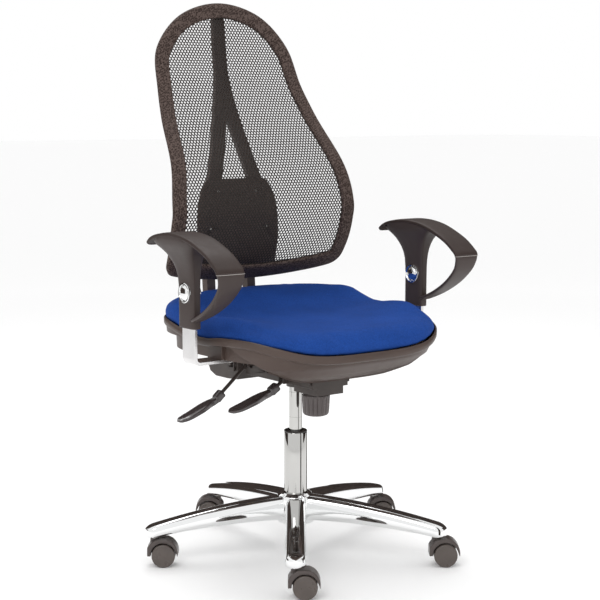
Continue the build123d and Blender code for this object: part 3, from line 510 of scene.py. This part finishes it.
def smooth_line(points, count):
    """count points on a Catmull-Rom curve, the cubic that passes through every given point."""
    p = np.array(points, float)
    p = np.concatenate([[2 * p[0] - p[1]], p, [2 * p[-1] - p[-2]]])
    t = np.linspace(0, len(p) - 3, count)
    i = np.minimum(t.astype(int), len(p) - 4)
    u = (t - i)[:, None]
    a, b, c, d = p[i], p[i + 1], p[i + 2], p[i + 3]
    bend = (2 * a - 5 * b + 4 * c - d) * u ** 2
    return 0.5 * (2 * b + (c - a) * u + bend + (3 * b - a - 3 * c + d) * u ** 3)


def lever_paddle(y, rod_from, rod_end, tip):
    """Sections along a bent line: square on the rod, narrow at the waist, wide and dished in the leaf,
    which is rolled about its length so that its front edge is the lower one."""
    rod_run = np.array(rod_end) - np.array(rod_from)
    rod_run /= np.linalg.norm(rod_run)
    back = np.array(rod_end) - 0.013 * rod_run
    knee = np.array(rod_end) + 0.012 * rod_run
    leaf = np.array(tip) - knee
    stops = [back, np.array(rod_end), knee, knee + 0.18 * leaf, knee + 0.42 * leaf + (0, -0.0015),
             knee + 0.72 * leaf + (0, -0.0025), np.array(tip)]
    line = smooth_line([(p[0], y, p[1]) for p in stops], 44)
    at = np.linspace(0, 1, 44)
    half = np.interp(at, (0, 0.02, 0.26, 0.30, 0.42, 0.62, 0.86, 0.95, 0.985, 1.0),
                     (0.0080, 0.0088, 0.0088, 0.0070, 0.0074, 0.0112, 0.0108, 0.0082, 0.0050, 0.0012))
    thick = np.interp(at, (0, 0.02, 0.26, 0.30, 0.45, 0.70, 0.95, 1.0),
                      (0.0082, 0.0092, 0.0092, 0.0070, 0.0070, 0.0060, 0.0036, 0.0012))
    roll = np.interp(at, (0, 0.28, 0.5, 1), (0, 0, leaf_roll, leaf_roll))[:, None]
    along = np.gradient(line, axis=0)
    along /= np.linalg.norm(along, axis=1)[:, None]
    level = np.broadcast_to(np.array([0.0, 1.0, 0.0]), line.shape)
    up = np.cross(level, along)
    wide = level * np.cos(roll) + up * np.sin(roll)
    high = up * np.cos(roll) - level * np.sin(roll)
    ring = rounded(36, 5.5)
    dish = np.interp(at, (0.45, 0.60, 0.9, 1.0), (0, 0.0026, 0.0022, 0))[:, None]
    rise = thick[:, None] * ring[:, 1] - dish * (ring[:, 1] > 0.2) * (1 - ring[:, 0] ** 2)
    reach = half[:, None] * ring[:, 0]
    return line[:, None] + reach[..., None] * wide[:, None] + rise[..., None] * high[:, None]


height_paddle = lever_paddle(-0.030, (-0.056, 0.392), (-0.083, 0.375), (-0.197, 0.341))
tilt_paddle = lever_paddle(0.100, (-0.056, 0.412), (-0.135, 0.346), (-0.240, 0.305))
solid("height_paddle", height_paddle, gloss, "height_lever", ["height_lever_paddle"],
      sharp=50)
solid("tilt_paddle", tilt_paddle, gloss, "tilt_lever", ["tilt_lever_paddle"], sharp=50)


# ---- seat: carrier, panel and shell ---------------------------------------------------------------
# The steel carrier bolts to a moulded plywood panel. A plastic shell covers the panel from below: a
# narrow rim that follows the seam, a deep chin in front, and a wall stepped in beside and behind.
plywood = paint("plywood", (0.42, 0.27, 0.15), 0.55, grain=0.00006, grain_size=0.002, drift=0.25,
                drift_size=0.03)
shell_plastic = paint("shell_plastic", (0.072, 0.050, 0.042), 0.40, grain=0.00006, grain_size=0.0009,
                      drift=0.07, drift_size=0.09, wear=0.07, Specular_IOR_Level=0.30)
dress("seat_carrier", powder_coat, 0.0012)
dress("seat_panel", plywood)
dress("seat_screws", zinc)

panel_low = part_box("seat_panel")[0]
shell_low, shell_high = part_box("seat_shell")
seat_half = np.array([0.262, 0.247])
seat_centre = np.array([0.0, (shell_low.y + shell_high.y) / 2])
seat_power = 3.3
hem_drop = 0.0155
wall_inset = 0.022
shell_thick = 0.0022
seam_line = smooth_line([(-0.275, 0.470), (-0.255, 0.479), (-0.218, 0.497), (-0.168, 0.508), (-0.098, 0.508),
                         (-0.016, 0.502), (0.111, 0.521), (0.243, 0.526)], 200)
chin_line = np.array([(-0.263, 0.4135), (-0.251, 0.415), (-0.221, 0.436), (-0.171, 0.465), (-0.113, 0.494)])


def seam_height(y):
    """Height of the seam between the cover and the shell at y."""
    return np.interp(y, seam_line[:, 0], seam_line[:, 1])


def seat_ring(count, inset=0.0):
    """The seat's plan, a superellipse set in by inset, as (count, 2)."""
    t = np.arange(count) * 2 * pi / count
    ring = np.stack([np.cos(t), np.sin(t)], axis=1)
    ring = np.sign(ring) * np.abs(ring) ** (2 / seat_power)
    return seat_centre + ring * (seat_half - np.reshape(inset, (-1, 1)))


def seat_shell():
    """Rows from the seam down and in. The inset and the height of each row are functions of where on
    the ring a point lies, because the chin's lower edge climbs towards the sides."""
    count = 240
    edge = seat_ring(count)
    y = edge[:, 1]
    seam = seam_height(y)
    hem = seam - hem_drop
    low = np.minimum(np.interp(y, chin_line[:, 0], chin_line[:, 1]), hem - 0.0005)
    rows = [(0.0015 + 0 * y, seam + 0.0015), (0.0004 + 0 * y, seam), (-0.0006 + 0 * y, seam - 0.0015),
            (-0.0006 + 0 * y, hem + 0.004), (0.0006 + 0 * y, hem + 0.0012), (0.0022 + 0 * y, hem)]
    chin_bottom = chin_line[0, 1]
    rise_stops = (0, 0.015, 0.038, 0.065, 0.1)
    draw_stops = (0.080, 0.046, 0.0175, 0.0062, 0.0030)
    for share in np.linspace(0.08, 1, 12):
        z = hem + (low - hem) * share
        draw = np.interp(z - chin_bottom, rise_stops, draw_stops)
        rows.append((np.maximum(draw, 0.0030), z))
    inset, z = rows[-1]
    step = np.maximum(inset, wall_inset)
    panel = panel_low.z + 0.0005
    floor_level = np.minimum(z, panel)
    rows.append((inset + 0.0015, z - 0.0006))
    rows.append((inset + (step - inset) * 0.5 + 0.001, z - 0.0006))
    rows.append((step, z - 0.0006))
    rows.append((step + 0.0012, np.minimum(z - 0.002, z * 0.3 + floor_level * 0.7)))
    rows.append((step + 0.0016, floor_level - 0.0006))
    grid = np.stack([np.concatenate([seat_ring(count, i), h[:, None]], axis=1) for i, h in rows])
    last = grid[-1]
    inward = []
    for share in (0.12, 0.3, 0.5, 0.62):
        point = last.copy()
        point[:, :2] = seat_centre + (last[:, :2] - seat_centre) * (1 - share)
        climb = np.interp(point[:, 1], chin_line[:4, 0], chin_line[:4, 1])
        point[:, 2] = np.minimum(climb, panel) - 0.0006
        inward.append(point)
    return np.concatenate([grid, np.stack(inward)])


shell = solid("seat_shell_moulding", seat_shell(), shell_plastic, "seat", ["seat_shell"],
              capped=False, sharp=38, merge=2e-5)
shell_wall = shell.modifiers.new("wall", "SOLIDIFY")
shell_wall.thickness = shell_thick
shell_wall.offset = -1


def seat_edge(y, inset):
    """Half the seat's width at y, inside its edge by inset."""
    share = np.abs(y - seat_centre[1]) / seat_half[1]
    return seat_half[0] * (1 - share ** seat_power) ** (1 / seat_power) - inset


def swept(path, side, half_width, half_thick, power, count):
    """A rounded-square section carried along path. side is the section's wide direction, and its
    thin direction is square to side and to the path. Widths may change along the path."""
    along = np.gradient(path, axis=0)
    along /= np.linalg.norm(along, axis=1)[:, None]
    side = np.broadcast_to(np.array(side, float), path.shape)
    normal = np.cross(along, side)
    normal /= np.linalg.norm(normal, axis=1)[:, None]
    ring = rounded(count, power)
    wide = np.broadcast_to(half_width, len(path))[:, None, None] * ring[None, :, :1]
    thin = np.broadcast_to(half_thick, len(path))[:, None, None] * ring[None, :, 1:]
    return path[:, None] + wide * side[:, None] + thin * normal[:, None]


rib_grids = []
for side in (-1, 1):
    for y in (-0.075, 0.062):
        x = side * seat_edge(y, 0.0215)
        z = np.linspace(panel_low.z, seam_height(y) - 0.0175, 6)
        path = np.stack([x + 0 * z, y + 0 * z, z], axis=1)
        rib_grids.append(swept(path, (1, 0, 0), 0.0045, 0.0013, power=5, count=16))
solid("shell_ribs", rib_grids, shell_plastic, "seat")


# ---- seat cushion ---------------------------------------------------------------------------------
# Cut foam under tightly drawn royal blue wool-blend fabric: a rolled front edge, a hollow to sit in,
# and raised bolsters at the sides and at the rear. The cover is pulled under the shell's rim.
def upholstery(name, colour):
    """A fine crepe: small yarn knots in the colour and in the relief, over slow shade changes."""
    material = paint(name, colour, 0.90, drift=0.10, drift_size=0.11, Specular_IOR_Level=0.10)
    nodes = material.node_tree.nodes
    link = material.node_tree.links.new
    shader = nodes["Principled BSDF"]
    place = nodes.new("ShaderNodeTexCoord").outputs["Object"]
    knots = nodes.new("ShaderNodeTexVoronoi")
    knots.inputs["Scale"].default_value = 780.0
    link(place, knots.inputs["Vector"])
    fibres = nodes.new("ShaderNodeTexNoise")
    fibres.inputs["Scale"].default_value = 420.0
    fibres.inputs["Detail"].default_value = 5.0
    link(place, fibres.inputs["Vector"])
    mixed = nodes.new("ShaderNodeMath")
    mixed.operation = "ADD"
    link(knots.outputs["Distance"], mixed.inputs[0])
    link(fibres.outputs["Fac"], mixed.inputs[1])
    bump = nodes.new("ShaderNodeBump")
    bump.inputs["Distance"].default_value = 0.00028
    bump.inputs["Strength"].default_value = 0.75
    link(mixed.outputs["Value"], bump.inputs["Height"])
    link(bump.outputs["Normal"], shader.inputs["Normal"])
    speck = nodes.new("ShaderNodeMapRange")
    speck.inputs["From Min"].default_value = 0.6
    speck.inputs["From Max"].default_value = 1.4
    speck.inputs["To Min"].default_value = 0.72
    speck.inputs["To Max"].default_value = 1.25
    link(mixed.outputs["Value"], speck.inputs["Value"])
    ramp = next(n for n in nodes if n.type == "VALTORGB")
    shade = nodes.new("ShaderNodeVectorMath")
    shade.operation = "SCALE"
    link(ramp.outputs["Color"], shade.inputs[0])
    link(speck.outputs["Result"], shade.inputs["Scale"])
    link(shade.outputs["Vector"], shader.inputs["Base Color"])
    return material


blue_wool = upholstery("blue_wool", (0.0115, 0.051, 0.240))
crown_line = smooth_line([(-0.30, 0.514), (-0.225, 0.5175), (-0.168, 0.5205), (-0.10, 0.5205),
                          (-0.03, 0.5190), (0.02, 0.5200), (0.07, 0.5275), (0.12, 0.543),
                          (0.165, 0.5585), (0.20, 0.564), (0.235, 0.564), (0.28, 0.561)], 200)
bolster_line = smooth_line([(-0.30, 0.002), (-0.21, 0.004), (-0.165, 0.014), (-0.115, 0.030), (-0.06, 0.031),
                            (0.0, 0.024), (0.05, 0.030), (0.10, 0.037), (0.14, 0.026), (0.18, 0.014),
                            (0.22, 0.004), (0.28, 0.0)], 200)
roll_start = 0.85
cushion_bulge = 0.006
bolster_power = 2.6
panel_clear = 0.474


def cushion_skin(shrink):
    """Rows from the middle outwards over the top, down the rolled side to the seam, and back in under
    the shell's rim. The side is a quarter ellipse from the top's height to the seam's."""
    count = 200
    ring = seat_ring(count) - seat_centre
    reach = np.linspace(0.04, roll_start, 24)
    roll = np.linspace(0, pi / 2, 16)[1:]
    rows = []
    for share in reach:
        xy = seat_centre + ring * share
        rows.append(np.column_stack([xy, cushion_top(xy)]))
    for angle in roll:
        share = roll_start + (1 - roll_start) * np.sin(angle)
        xy = seat_centre + ring * share
        top = cushion_top(xy)
        seam = seam_height(xy[:, 1])
        bulge = 1 + cushion_bulge / 0.26 * np.sin(2 * angle)
        height = seam + (top - seam) * np.cos(angle)
        rows.append(np.column_stack([seat_centre + ring * share * bulge, height]))
    for tuck, drop in ((0.004, 0.004), (0.010, 0.008), (0.030, 0.010)):
        xy = seat_ring(count, tuck)
        rows.append(np.column_stack([xy, np.maximum(seam_height(xy[:, 1]) - drop, 0.464)]))
    rim = rows[-1]
    for share in (0.85, 0.6, 0.3, 0.05):
        xy = seat_centre + (rim[:, :2] - seat_centre) * share
        rows.append(np.column_stack([xy, np.maximum(seam_height(xy[:, 1]) - 0.010, panel_clear)]))
    grid = np.stack(rows)
    middle = np.array([0, seat_centre[1], 0.5])
    return middle + (grid - middle) * (1 - shrink)


def cushion_top(xy):
    """Height of the seat surface: a line along the chair plus side bolsters that rise with a power
    of the distance from the middle."""
    x, y = xy[:, 0], xy[:, 1]
    crown = np.interp(y, crown_line[:, 0], crown_line[:, 1])
    bolster = np.interp(y, bolster_line[:, 0], bolster_line[:, 1])
    return crown + bolster * np.minimum(np.abs(x) / seat_half[0], 1.0) ** bolster_power


cushion = solid("seat_upholstery", cushion_skin(0.003), blue_wool, None, sharp=80, merge=1e-5)


def plump(piece, voxel, cap, pressure):
    """Blow the cover up a little with the cloth solver, and let no point move further than cap."""
    scene = bpy.context.scene
    bpy.context.view_layer.objects.active = piece
    remesh = piece.modifiers.new("remesh", "REMESH")
    remesh.mode = "VOXEL"
    remesh.voxel_size = voxel
    remesh.use_smooth_shade = True
    bpy.ops.object.modifier_apply(modifier=remesh.name)
    relax = piece.modifiers.new("relax", "SMOOTH")
    relax.iterations = 5
    relax.factor = 0.5
    bpy.ops.object.modifier_apply(modifier=relax.name)
    mesh = piece.data
    rest = np.zeros(len(mesh.vertices) * 3, np.float32)
    mesh.vertices.foreach_get("co", rest)
    cloth = piece.modifiers.new("cover", "CLOTH")
    cloth.settings.quality = 5
    cloth.settings.mass = 0.35
    cloth.settings.tension_stiffness = 25
    cloth.settings.compression_stiffness = 25
    cloth.settings.bending_stiffness = 2.0
    cloth.settings.use_pressure = True
    cloth.settings.uniform_pressure_force = pressure
    cloth.settings.effector_weights.gravity = 0.0
    cloth.collision_settings.use_collision = False
    scene.frame_start, scene.frame_end = 1, 20
    for number in range(1, 21):
        scene.frame_set(number)
    shaped = piece.evaluated_get(bpy.context.evaluated_depsgraph_get())
    moved = np.zeros_like(rest)
    shaped.data.vertices.foreach_get("co", moved)
    piece.modifiers.remove(cloth)
    scene.frame_set(1)
    step = (moved - rest).reshape(-1, 3)
    far = np.linalg.norm(step, axis=1)[:, None]
    step *= np.minimum(1.0, cap / np.maximum(far, 1e-9))
    mesh.vertices.foreach_set("co", (rest.reshape(-1, 3) + step).ravel())
    mesh.update()
    finer = piece.modifiers.new("finer", "SUBSURF")
    finer.levels = finer.render_levels = 1
    bpy.ops.object.modifier_apply(modifier=finer.name)


plump(cushion, 0.0055, 0.005, 4.0)
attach(cushion, "seat")
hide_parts("seat_cushion")


# ---- arm rests ------------------------------------------------------------------------------------
# A chrome-plated steel L carries each arm rest. The moulded frame is a hollow post that spreads under
# the pad and a band that returns from the nose to the post's foot; the pad is soft polyurethane.
soft_skin = paint("soft_skin", (0.036, 0.024, 0.021), 0.52, grain=0.00007, grain_size=0.0012, drift=0.08,
                  drift_size=0.07, wear=0.08, Specular_IOR_Level=0.22)
arm_plastic = paint("arm_plastic", (0.050, 0.037, 0.034), 0.42, grain=0.00005, grain_size=0.0010, drift=0.08,
                    drift_size=0.06, wear=0.07, Specular_IOR_Level=0.28)
satin_chrome = paint("satin_chrome", (0.74, 0.73, 0.73), 0.16, 1.0, drift=0.04, drift_size=0.05, wear=0.05)
post_x = 0.302
post_y = -0.048
post_thick = 0.0105
pad_x = 0.007
button_z = 0.600
pad_path = smooth_line([(0.066, 0.690), (0.052, 0.6985), (0.020, 0.7105), (-0.036, 0.7165), (-0.098, 0.7085),
                        (-0.161, 0.6840), (-0.196, 0.6600), (-0.2035, 0.6500)], 72)
return_path = smooth_line([(-0.2030, 0.6530), (-0.2028, 0.6390), (-0.193, 0.6180), (-0.163, 0.5900),
                           (-0.123, 0.5660), (-0.085, 0.5500), (-0.070, 0.5460)], 48)


def arm_pad():
    """The pad's band: a feathered rear tip, full width over the crest, a square end at the nose."""
    path = np.column_stack([0 * pad_path[:, 0] + pad_x, pad_path])
    at = np.linspace(0, 1, len(path))
    half = np.interp(at, (0, 0.02, 0.08, 0.2, 1), (0.014, 0.020, 0.0265, 0.0318, 0.0320))
    thick = np.interp(at, (0, 0.03, 0.25, 0.5, 1), (0.0014, 0.0022, 0.0046, 0.0050, 0.0046))
    return swept(path, (1, 0, 0), half, thick, power=5, count=36)


def arm_return():
    """The band from the nose to the post's foot, narrowing to the post's own thickness."""
    path = np.column_stack([np.linspace(pad_x, 0.001, len(return_path)), return_path])
    at = np.linspace(0, 1, len(path))
    half = np.interp(at, (0, 0.15, 0.5, 0.8, 1), (0.0316, 0.0300, 0.0225, 0.0150, 0.0112))
    thick = np.interp(at, (0, 1), (0.0044, 0.0040))
    return swept(path, (1, 0, 0), half, thick, power=4.5, count=36)


def arm_post():
    """Sections from the foot up. Above the waist the rear edge flares most, the front a little, and
    the post grows as wide as the pad, whose underside it meets."""
    z = np.array([0.5280, 0.5290, 0.5320, 0.560, 0.590, 0.615, 0.632, 0.646, 0.658, 0.668, 0.677, 0.685,
                  0.6925, 0.700, 0.7090, 0.7180])
    rear = np.array([0.0270, 0.0283, 0.0285, 0.0285, 0.0285, 0.0290, 0.0305, 0.0345, 0.0410, 0.0490, 0.0580,
                     0.0690, 0.0820, 0.0900, 0.0880, 0.0820]) + post_y
    front = post_y - np.array([0.0270, 0.0283, 0.0285, 0.0285, 0.0285, 0.0287, 0.0290, 0.0300, 0.0320, 0.0345,
                               0.0380, 0.0430, 0.0500, 0.0580, 0.0600, 0.0520])
    wide = np.array([0.0095, 0.0103, 0.0105, 0.0105, 0.0105, 0.0107, 0.0115, 0.0130, 0.0150, 0.0177, 0.0206,
                     0.0240, 0.0276, 0.0302, 0.0312, 0.0312])
    shift = np.interp(wide, (0.0105, 0.0312), (0, pad_x))
    ring = rounded(56, 5.0)
    grid = np.zeros((len(z), 56, 3))
    grid[..., 0] = shift[:, None] + wide[:, None] * ring[:, 0]
    grid[..., 1] = ((rear + front) / 2)[:, None] + ((rear - front) / 2)[:, None] * ring[:, 1]
    grid[..., 2] = z[:, None]
    order = np.argsort(pad_path[:, 0])
    under_pad = np.interp(grid[..., 1], pad_path[order, 0], pad_path[order, 1]) - 0.0020
    grid[..., 2] = np.minimum(grid[..., 2], under_pad)
    return grid


def painted_nose_glint():
    """A pale band at the nose, where the pad's square end meets the return: a painted highlight standing in
    for the glint on that parting line.
    """
    y, z = pad_path[-1]
    path = np.array([(pad_x, y - 0.0002, z + rise) for rise in (0.0004, 0.0, -0.0004)])
    return swept(path, (1, 0, 0), 0.0322, 0.0049, power=5, count=36)


# A pale colour for the band at each arm rest's nose: a painted highlight for the glint on the parting line
# there.
nose_glint_paint = paint("nose_glint_paint", (0.42, 0.39, 0.37), 0.35, drift=0.1, drift_size=0.01)
dome_profile = [(0.0, 0.0078), (0.0050, 0.0076), (0.0100, 0.0068), (0.0138, 0.0052), (0.0150, 0.0040),
                (0.0152, 0.0028), (0.0160, 0.0026), (0.0168, 0.0036), (0.0182, 0.0044), (0.0200, 0.0040),
                (0.0208, 0.0026), (0.0210, 0.0), (0.0, 0.0)]
button_profile = [(0.0, 0.0064), (0.0050, 0.0062), (0.0095, 0.0055), (0.0130, 0.0043), (0.0150, 0.0031),
                  (0.0158, 0.0018), (0.0158, -0.002), (0.0, -0.002)]
ring_profile = [(0.0162, 0.0), (0.0162, 0.0034), (0.0172, 0.0044), (0.0190, 0.0044), (0.0203, 0.0034),
                (0.0210, 0.0014), (0.0210, 0.0), (0.0162, 0.0)]


def to_side(points, side):
    """Carry points made on the plane x = 0 out to the left (side 1) or mirrored to the right (-1)."""
    moved = points + np.array([post_x, 0, 0])
    moved[..., 0] *= side
    return moved


for name, side in (("left", 1), ("right", -1)):
    body = "arm_" + name
    frame_grids = [to_side(arm_post(), side), to_side(arm_return(), side)]
    solid(f"arm_moulding_{name}", frame_grids, arm_plastic, body, [f"arm_frame_{name}"],
          sharp=45)
    solid(f"arm_cushion_{name}", to_side(arm_pad(), side), soft_skin, body, [f"arm_pad_{name}"],
          sharp=60)
    # The pale band at the nose is a painted highlight laid along the parting line.
    solid(f"arm_nose_glint_{name}", to_side(painted_nose_glint(), side), nose_glint_paint, body, sharp=60)
    outer = (post_thick, post_y, button_z)
    inner = (-post_thick, post_y, button_z)
    trims = [to_side(turned(ring_profile, outer, (1, 0, 0), 64), side),
             to_side(turned(dome_profile, inner, (-1, 0, 0), 64), side)]
    solid(f"arm_trims_{name}", trims, chrome, body, [f"arm_bezels_{name}"], capped=False, sharp=30)
    solid(f"arm_press_{name}", to_side(turned(button_profile, outer, (1, 0, 0), 64), side), chrome,
          f"arm_button_{name}", [f"arm_button_{name}"], capped=False, sharp=30)
    dress(f"arm_bracket_{name}", satin_chrome, 0.0009)


# ---- back: bar, spine and lumbar plate ------------------------------------------------------------
# A steel bar from the mechanism bends up behind the seat and carries two prongs, which slide in the
# sockets of an A-shaped moulding. The lumbar plate is screwed to the moulding's lower half.
dress("back_bar", powder_coat, 0.002)
dress("back_spine", moulded, 0.0015)
dress("lumbar_plate", moulded, 0.001)
dress("back_screws", zinc)


# ---- back: rim and net ----------------------------------------------------------------------------
# A plastic ring wrapped in the same knitted net as the field, which is stretched over it like a drum.
# The net's openings are upright hexagons in offset rows.
yarn = paint("yarn", (0.015, 0.010, 0.008), 0.75, drift=0.2, drift_size=0.004)


def knitted(name, dark, light, cell):
    """Net drawn over a solid core: light yarn round dark openings in a regular, slanted pattern."""
    material = paint(name, dark, 0.70, drift=0.1, drift_size=0.02, Specular_IOR_Level=0.20)
    nodes = material.node_tree.nodes
    link = material.node_tree.links.new
    shader = nodes["Principled BSDF"]
    turn = nodes.new("ShaderNodeMapping")
    turn.inputs["Rotation"].default_value = (0.0, radians(20), 0.0)
    turn.inputs["Scale"].default_value = (1.0, 1.0, 0.7)
    link(nodes.new("ShaderNodeTexCoord").outputs["Object"], turn.inputs["Vector"])
    openings = nodes.new("ShaderNodeTexVoronoi")
    openings.inputs["Scale"].default_value = 1 / cell
    openings.inputs["Randomness"].default_value = 0.6
    link(turn.outputs["Vector"], openings.inputs["Vector"])
    ramp = nodes.new("ShaderNodeValToRGB")
    ramp.color_ramp.elements[0].position = 0.36
    ramp.color_ramp.elements[1].position = 0.62
    ramp.color_ramp.elements[0].color = (*dark, 1.0)
    ramp.color_ramp.elements[1].color = (*light, 1.0)
    link(openings.outputs["Distance"], ramp.inputs["Fac"])
    link(ramp.outputs["Color"], shader.inputs["Base Color"])
    bump = nodes.new("ShaderNodeBump")
    bump.inputs["Distance"].default_value = 0.0007
    bump.inputs["Strength"].default_value = 0.7
    link(openings.outputs["Distance"], bump.inputs["Height"])
    link(bump.outputs["Normal"], shader.inputs["Normal"])
    return material


drawn_net = knitted("drawn_net", (0.024, 0.014, 0.011), (0.094, 0.067, 0.058), 0.0034)
rim_low, rim_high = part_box("back_rim")
back_height = rim_high.z - rim_low.z
back_half = (rim_high.x - rim_low.x) / 2
lumbar_y = rim_low.y + 0.0075
profile_line = smooth_line([(lumbar_y + y, rim_low.z + back_height * share) for y, share in
                            ((0.108, -0.05), (0.088, 0.0), (0.046, 0.055), (0.022, 0.12),
                             (0.004, 0.21), (0.0, 0.28), (0.024, 0.417), (0.100, 0.595),
                             (0.153, 0.777), (0.180, 1.01))], 400)
right_shares = [(0.0, 1.0), (0.43, 0.956), (0.72, 0.838), (0.80, 0.687), (0.895, 0.507), (0.985, 0.33),
                (1.0, 0.2), (0.985, 0.11), (0.945, 0.052), (0.80, 0.028), (0.4, 0.007)]


def back_depth(z):
    """Where the stretched sheet lies along Y at each height."""
    return np.interp(z, profile_line[:, 1], profile_line[:, 0])


def back_ring(count):
    """The back's outline as (count, 2) of x and height, evenly spaced along its length."""
    right = np.array(right_shares) * (back_half, back_height) + (0, rim_low.z)
    left = right[1:][::-1] * (-1, 1)
    knots = np.concatenate([right, [(0, rim_low.z)], left])
    wrapped = np.concatenate([knots[-3:], knots, knots[:4]])
    dense = smooth_line(wrapped, 4000)
    start = int(4000 * 3 / (len(wrapped) - 1))
    stop = int(4000 * (3 + len(knots)) / (len(wrapped) - 1))
    loop = dense[start:stop]
    length = np.concatenate([[0], np.cumsum(np.linalg.norm(np.diff(loop, axis=0), axis=1))])
    even = np.linspace(0, length[-1], count, endpoint=False)
    return np.column_stack([np.interp(even, length, loop[:, 0]), np.interp(even, length, loop[:, 1])])


rim_border = 0.033
rim_half_thick = 0.0070
groove_place = 0.024
groove_width = 0.0012
groove_share = 0.12
ring_count = 360
outline = back_ring(ring_count)
ahead = np.roll(outline, -1, axis=0) - np.roll(outline, 1, axis=0)
ahead /= np.linalg.norm(ahead, axis=1)[:, None]
inward = np.stack([ahead[:, 1], -ahead[:, 0]], axis=1)
slope = np.gradient(profile_line[:, 0], profile_line[:, 1])


def sheet_point(x, z, lift):
    """A point on the back's curved sheet, raised by lift along the sheet's own normal."""
    lean = np.interp(z, profile_line[:, 1], slope)
    size = np.sqrt(1 + lean ** 2)
    return np.stack([x, back_depth(z) - lift / size, z + lift * lean / size], axis=-1)


def rim_tube():
    """The ring's section: a flat band with rounded edges and a shallow hem groove near the inside."""
    section = rounded(36, 3.4)
    across = (section[:, 0] + 1) / 2 * rim_border
    lift = section[:, 1] * rim_half_thick
    lift = lift * (1 - groove_share * np.exp(-((across - groove_place) / groove_width) ** 2))
    x = outline[:, None, 0] + inward[:, None, 0] * across
    z = outline[:, None, 1] + inward[:, None, 1] * across
    return sheet_point(x, z, np.broadcast_to(lift, x.shape))


rim_grid = rim_tube()
rim_grid = np.concatenate([rim_grid, rim_grid[:1]])
solid("back_rim_cover", rim_grid, drawn_net, "back", ["back_rim"], capped=False, sharp=70)

cell_width = 0.0078
row_height = 0.0056
hole_share = 0.645
net_inset = rim_border - 0.004
net_half_thick = 0.00045


def inside_ring(x, z):
    """True where a point is inside the outline and further than net_inset from it."""
    near = np.full(x.shape, 1e9)
    for i in range(0, ring_count, 60):
        part = outline[i:i + 60]
        gap = np.hypot(x[:, None] - part[:, 0], z[:, None] - part[:, 1]).min(axis=1)
        near = np.minimum(near, gap)
    right = outline[outline[:, 0] >= 0]
    up = np.argsort(right[:, 1])
    reach = np.interp(z, right[up, 1], right[up, 0])
    within = (z > outline[:, 1].min()) & (z < outline[:, 1].max()) & (np.abs(x) < reach)
    return within & (near > net_inset)


def back_net():
    """Hexagonal cells in offset rows. Each cell is a ring of six faces round its opening, in front
    and behind, with the opening's wall between them."""
    rows = int(back_height / row_height)
    columns = int(back_half / cell_width)
    row, column = np.meshgrid(np.arange(rows), np.arange(-columns, columns + 1), indexing="ij")
    x = (column + 0.5 * (row % 2)).ravel() * cell_width
    z = rim_low.z + (row.ravel() + 0.5) * row_height
    keep = inside_ring(x, z)
    x, z = x[keep], z[keep]
    corner = np.array([(0, 2 / 3), (0.5, 1 / 3), (0.5, -1 / 3), (0, -2 / 3), (-0.5, -1 / 3), (-0.5, 1 / 3)])
    outer = corner * (cell_width, row_height)
    inner = outer * hole_share * (0.98, 1.08)
    layers = []
    for lift in (net_half_thick, -net_half_thick):
        for ring in (outer, inner):
            layers.append(sheet_point(x[:, None] + ring[:, 0], z[:, None] + ring[:, 1], lift))
    points = np.stack(layers, axis=1)
    count = len(x)
    base = np.arange(count)[:, None] * 24
    i = np.arange(6)
    j = (i + 1) % 6
    front = np.stack([i, j, j + 6, i + 6], axis=1)
    behind = np.stack([i + 12, i + 18, j + 18, j + 12], axis=1)
    hole = np.stack([i + 6, j + 6, j + 18, i + 18], axis=1)
    faces = (base[:, :, None] + np.concatenate([front, behind, hole])[None]).reshape(-1, 4)
    return points.reshape(-1, 3), faces.tolist(), count


net_points, net_faces, net_cells = back_net()
net = from_faces("back_net", net_points, net_faces, yarn, "back", ["back_mesh"], sharp=80,
                 merge=2e-5)
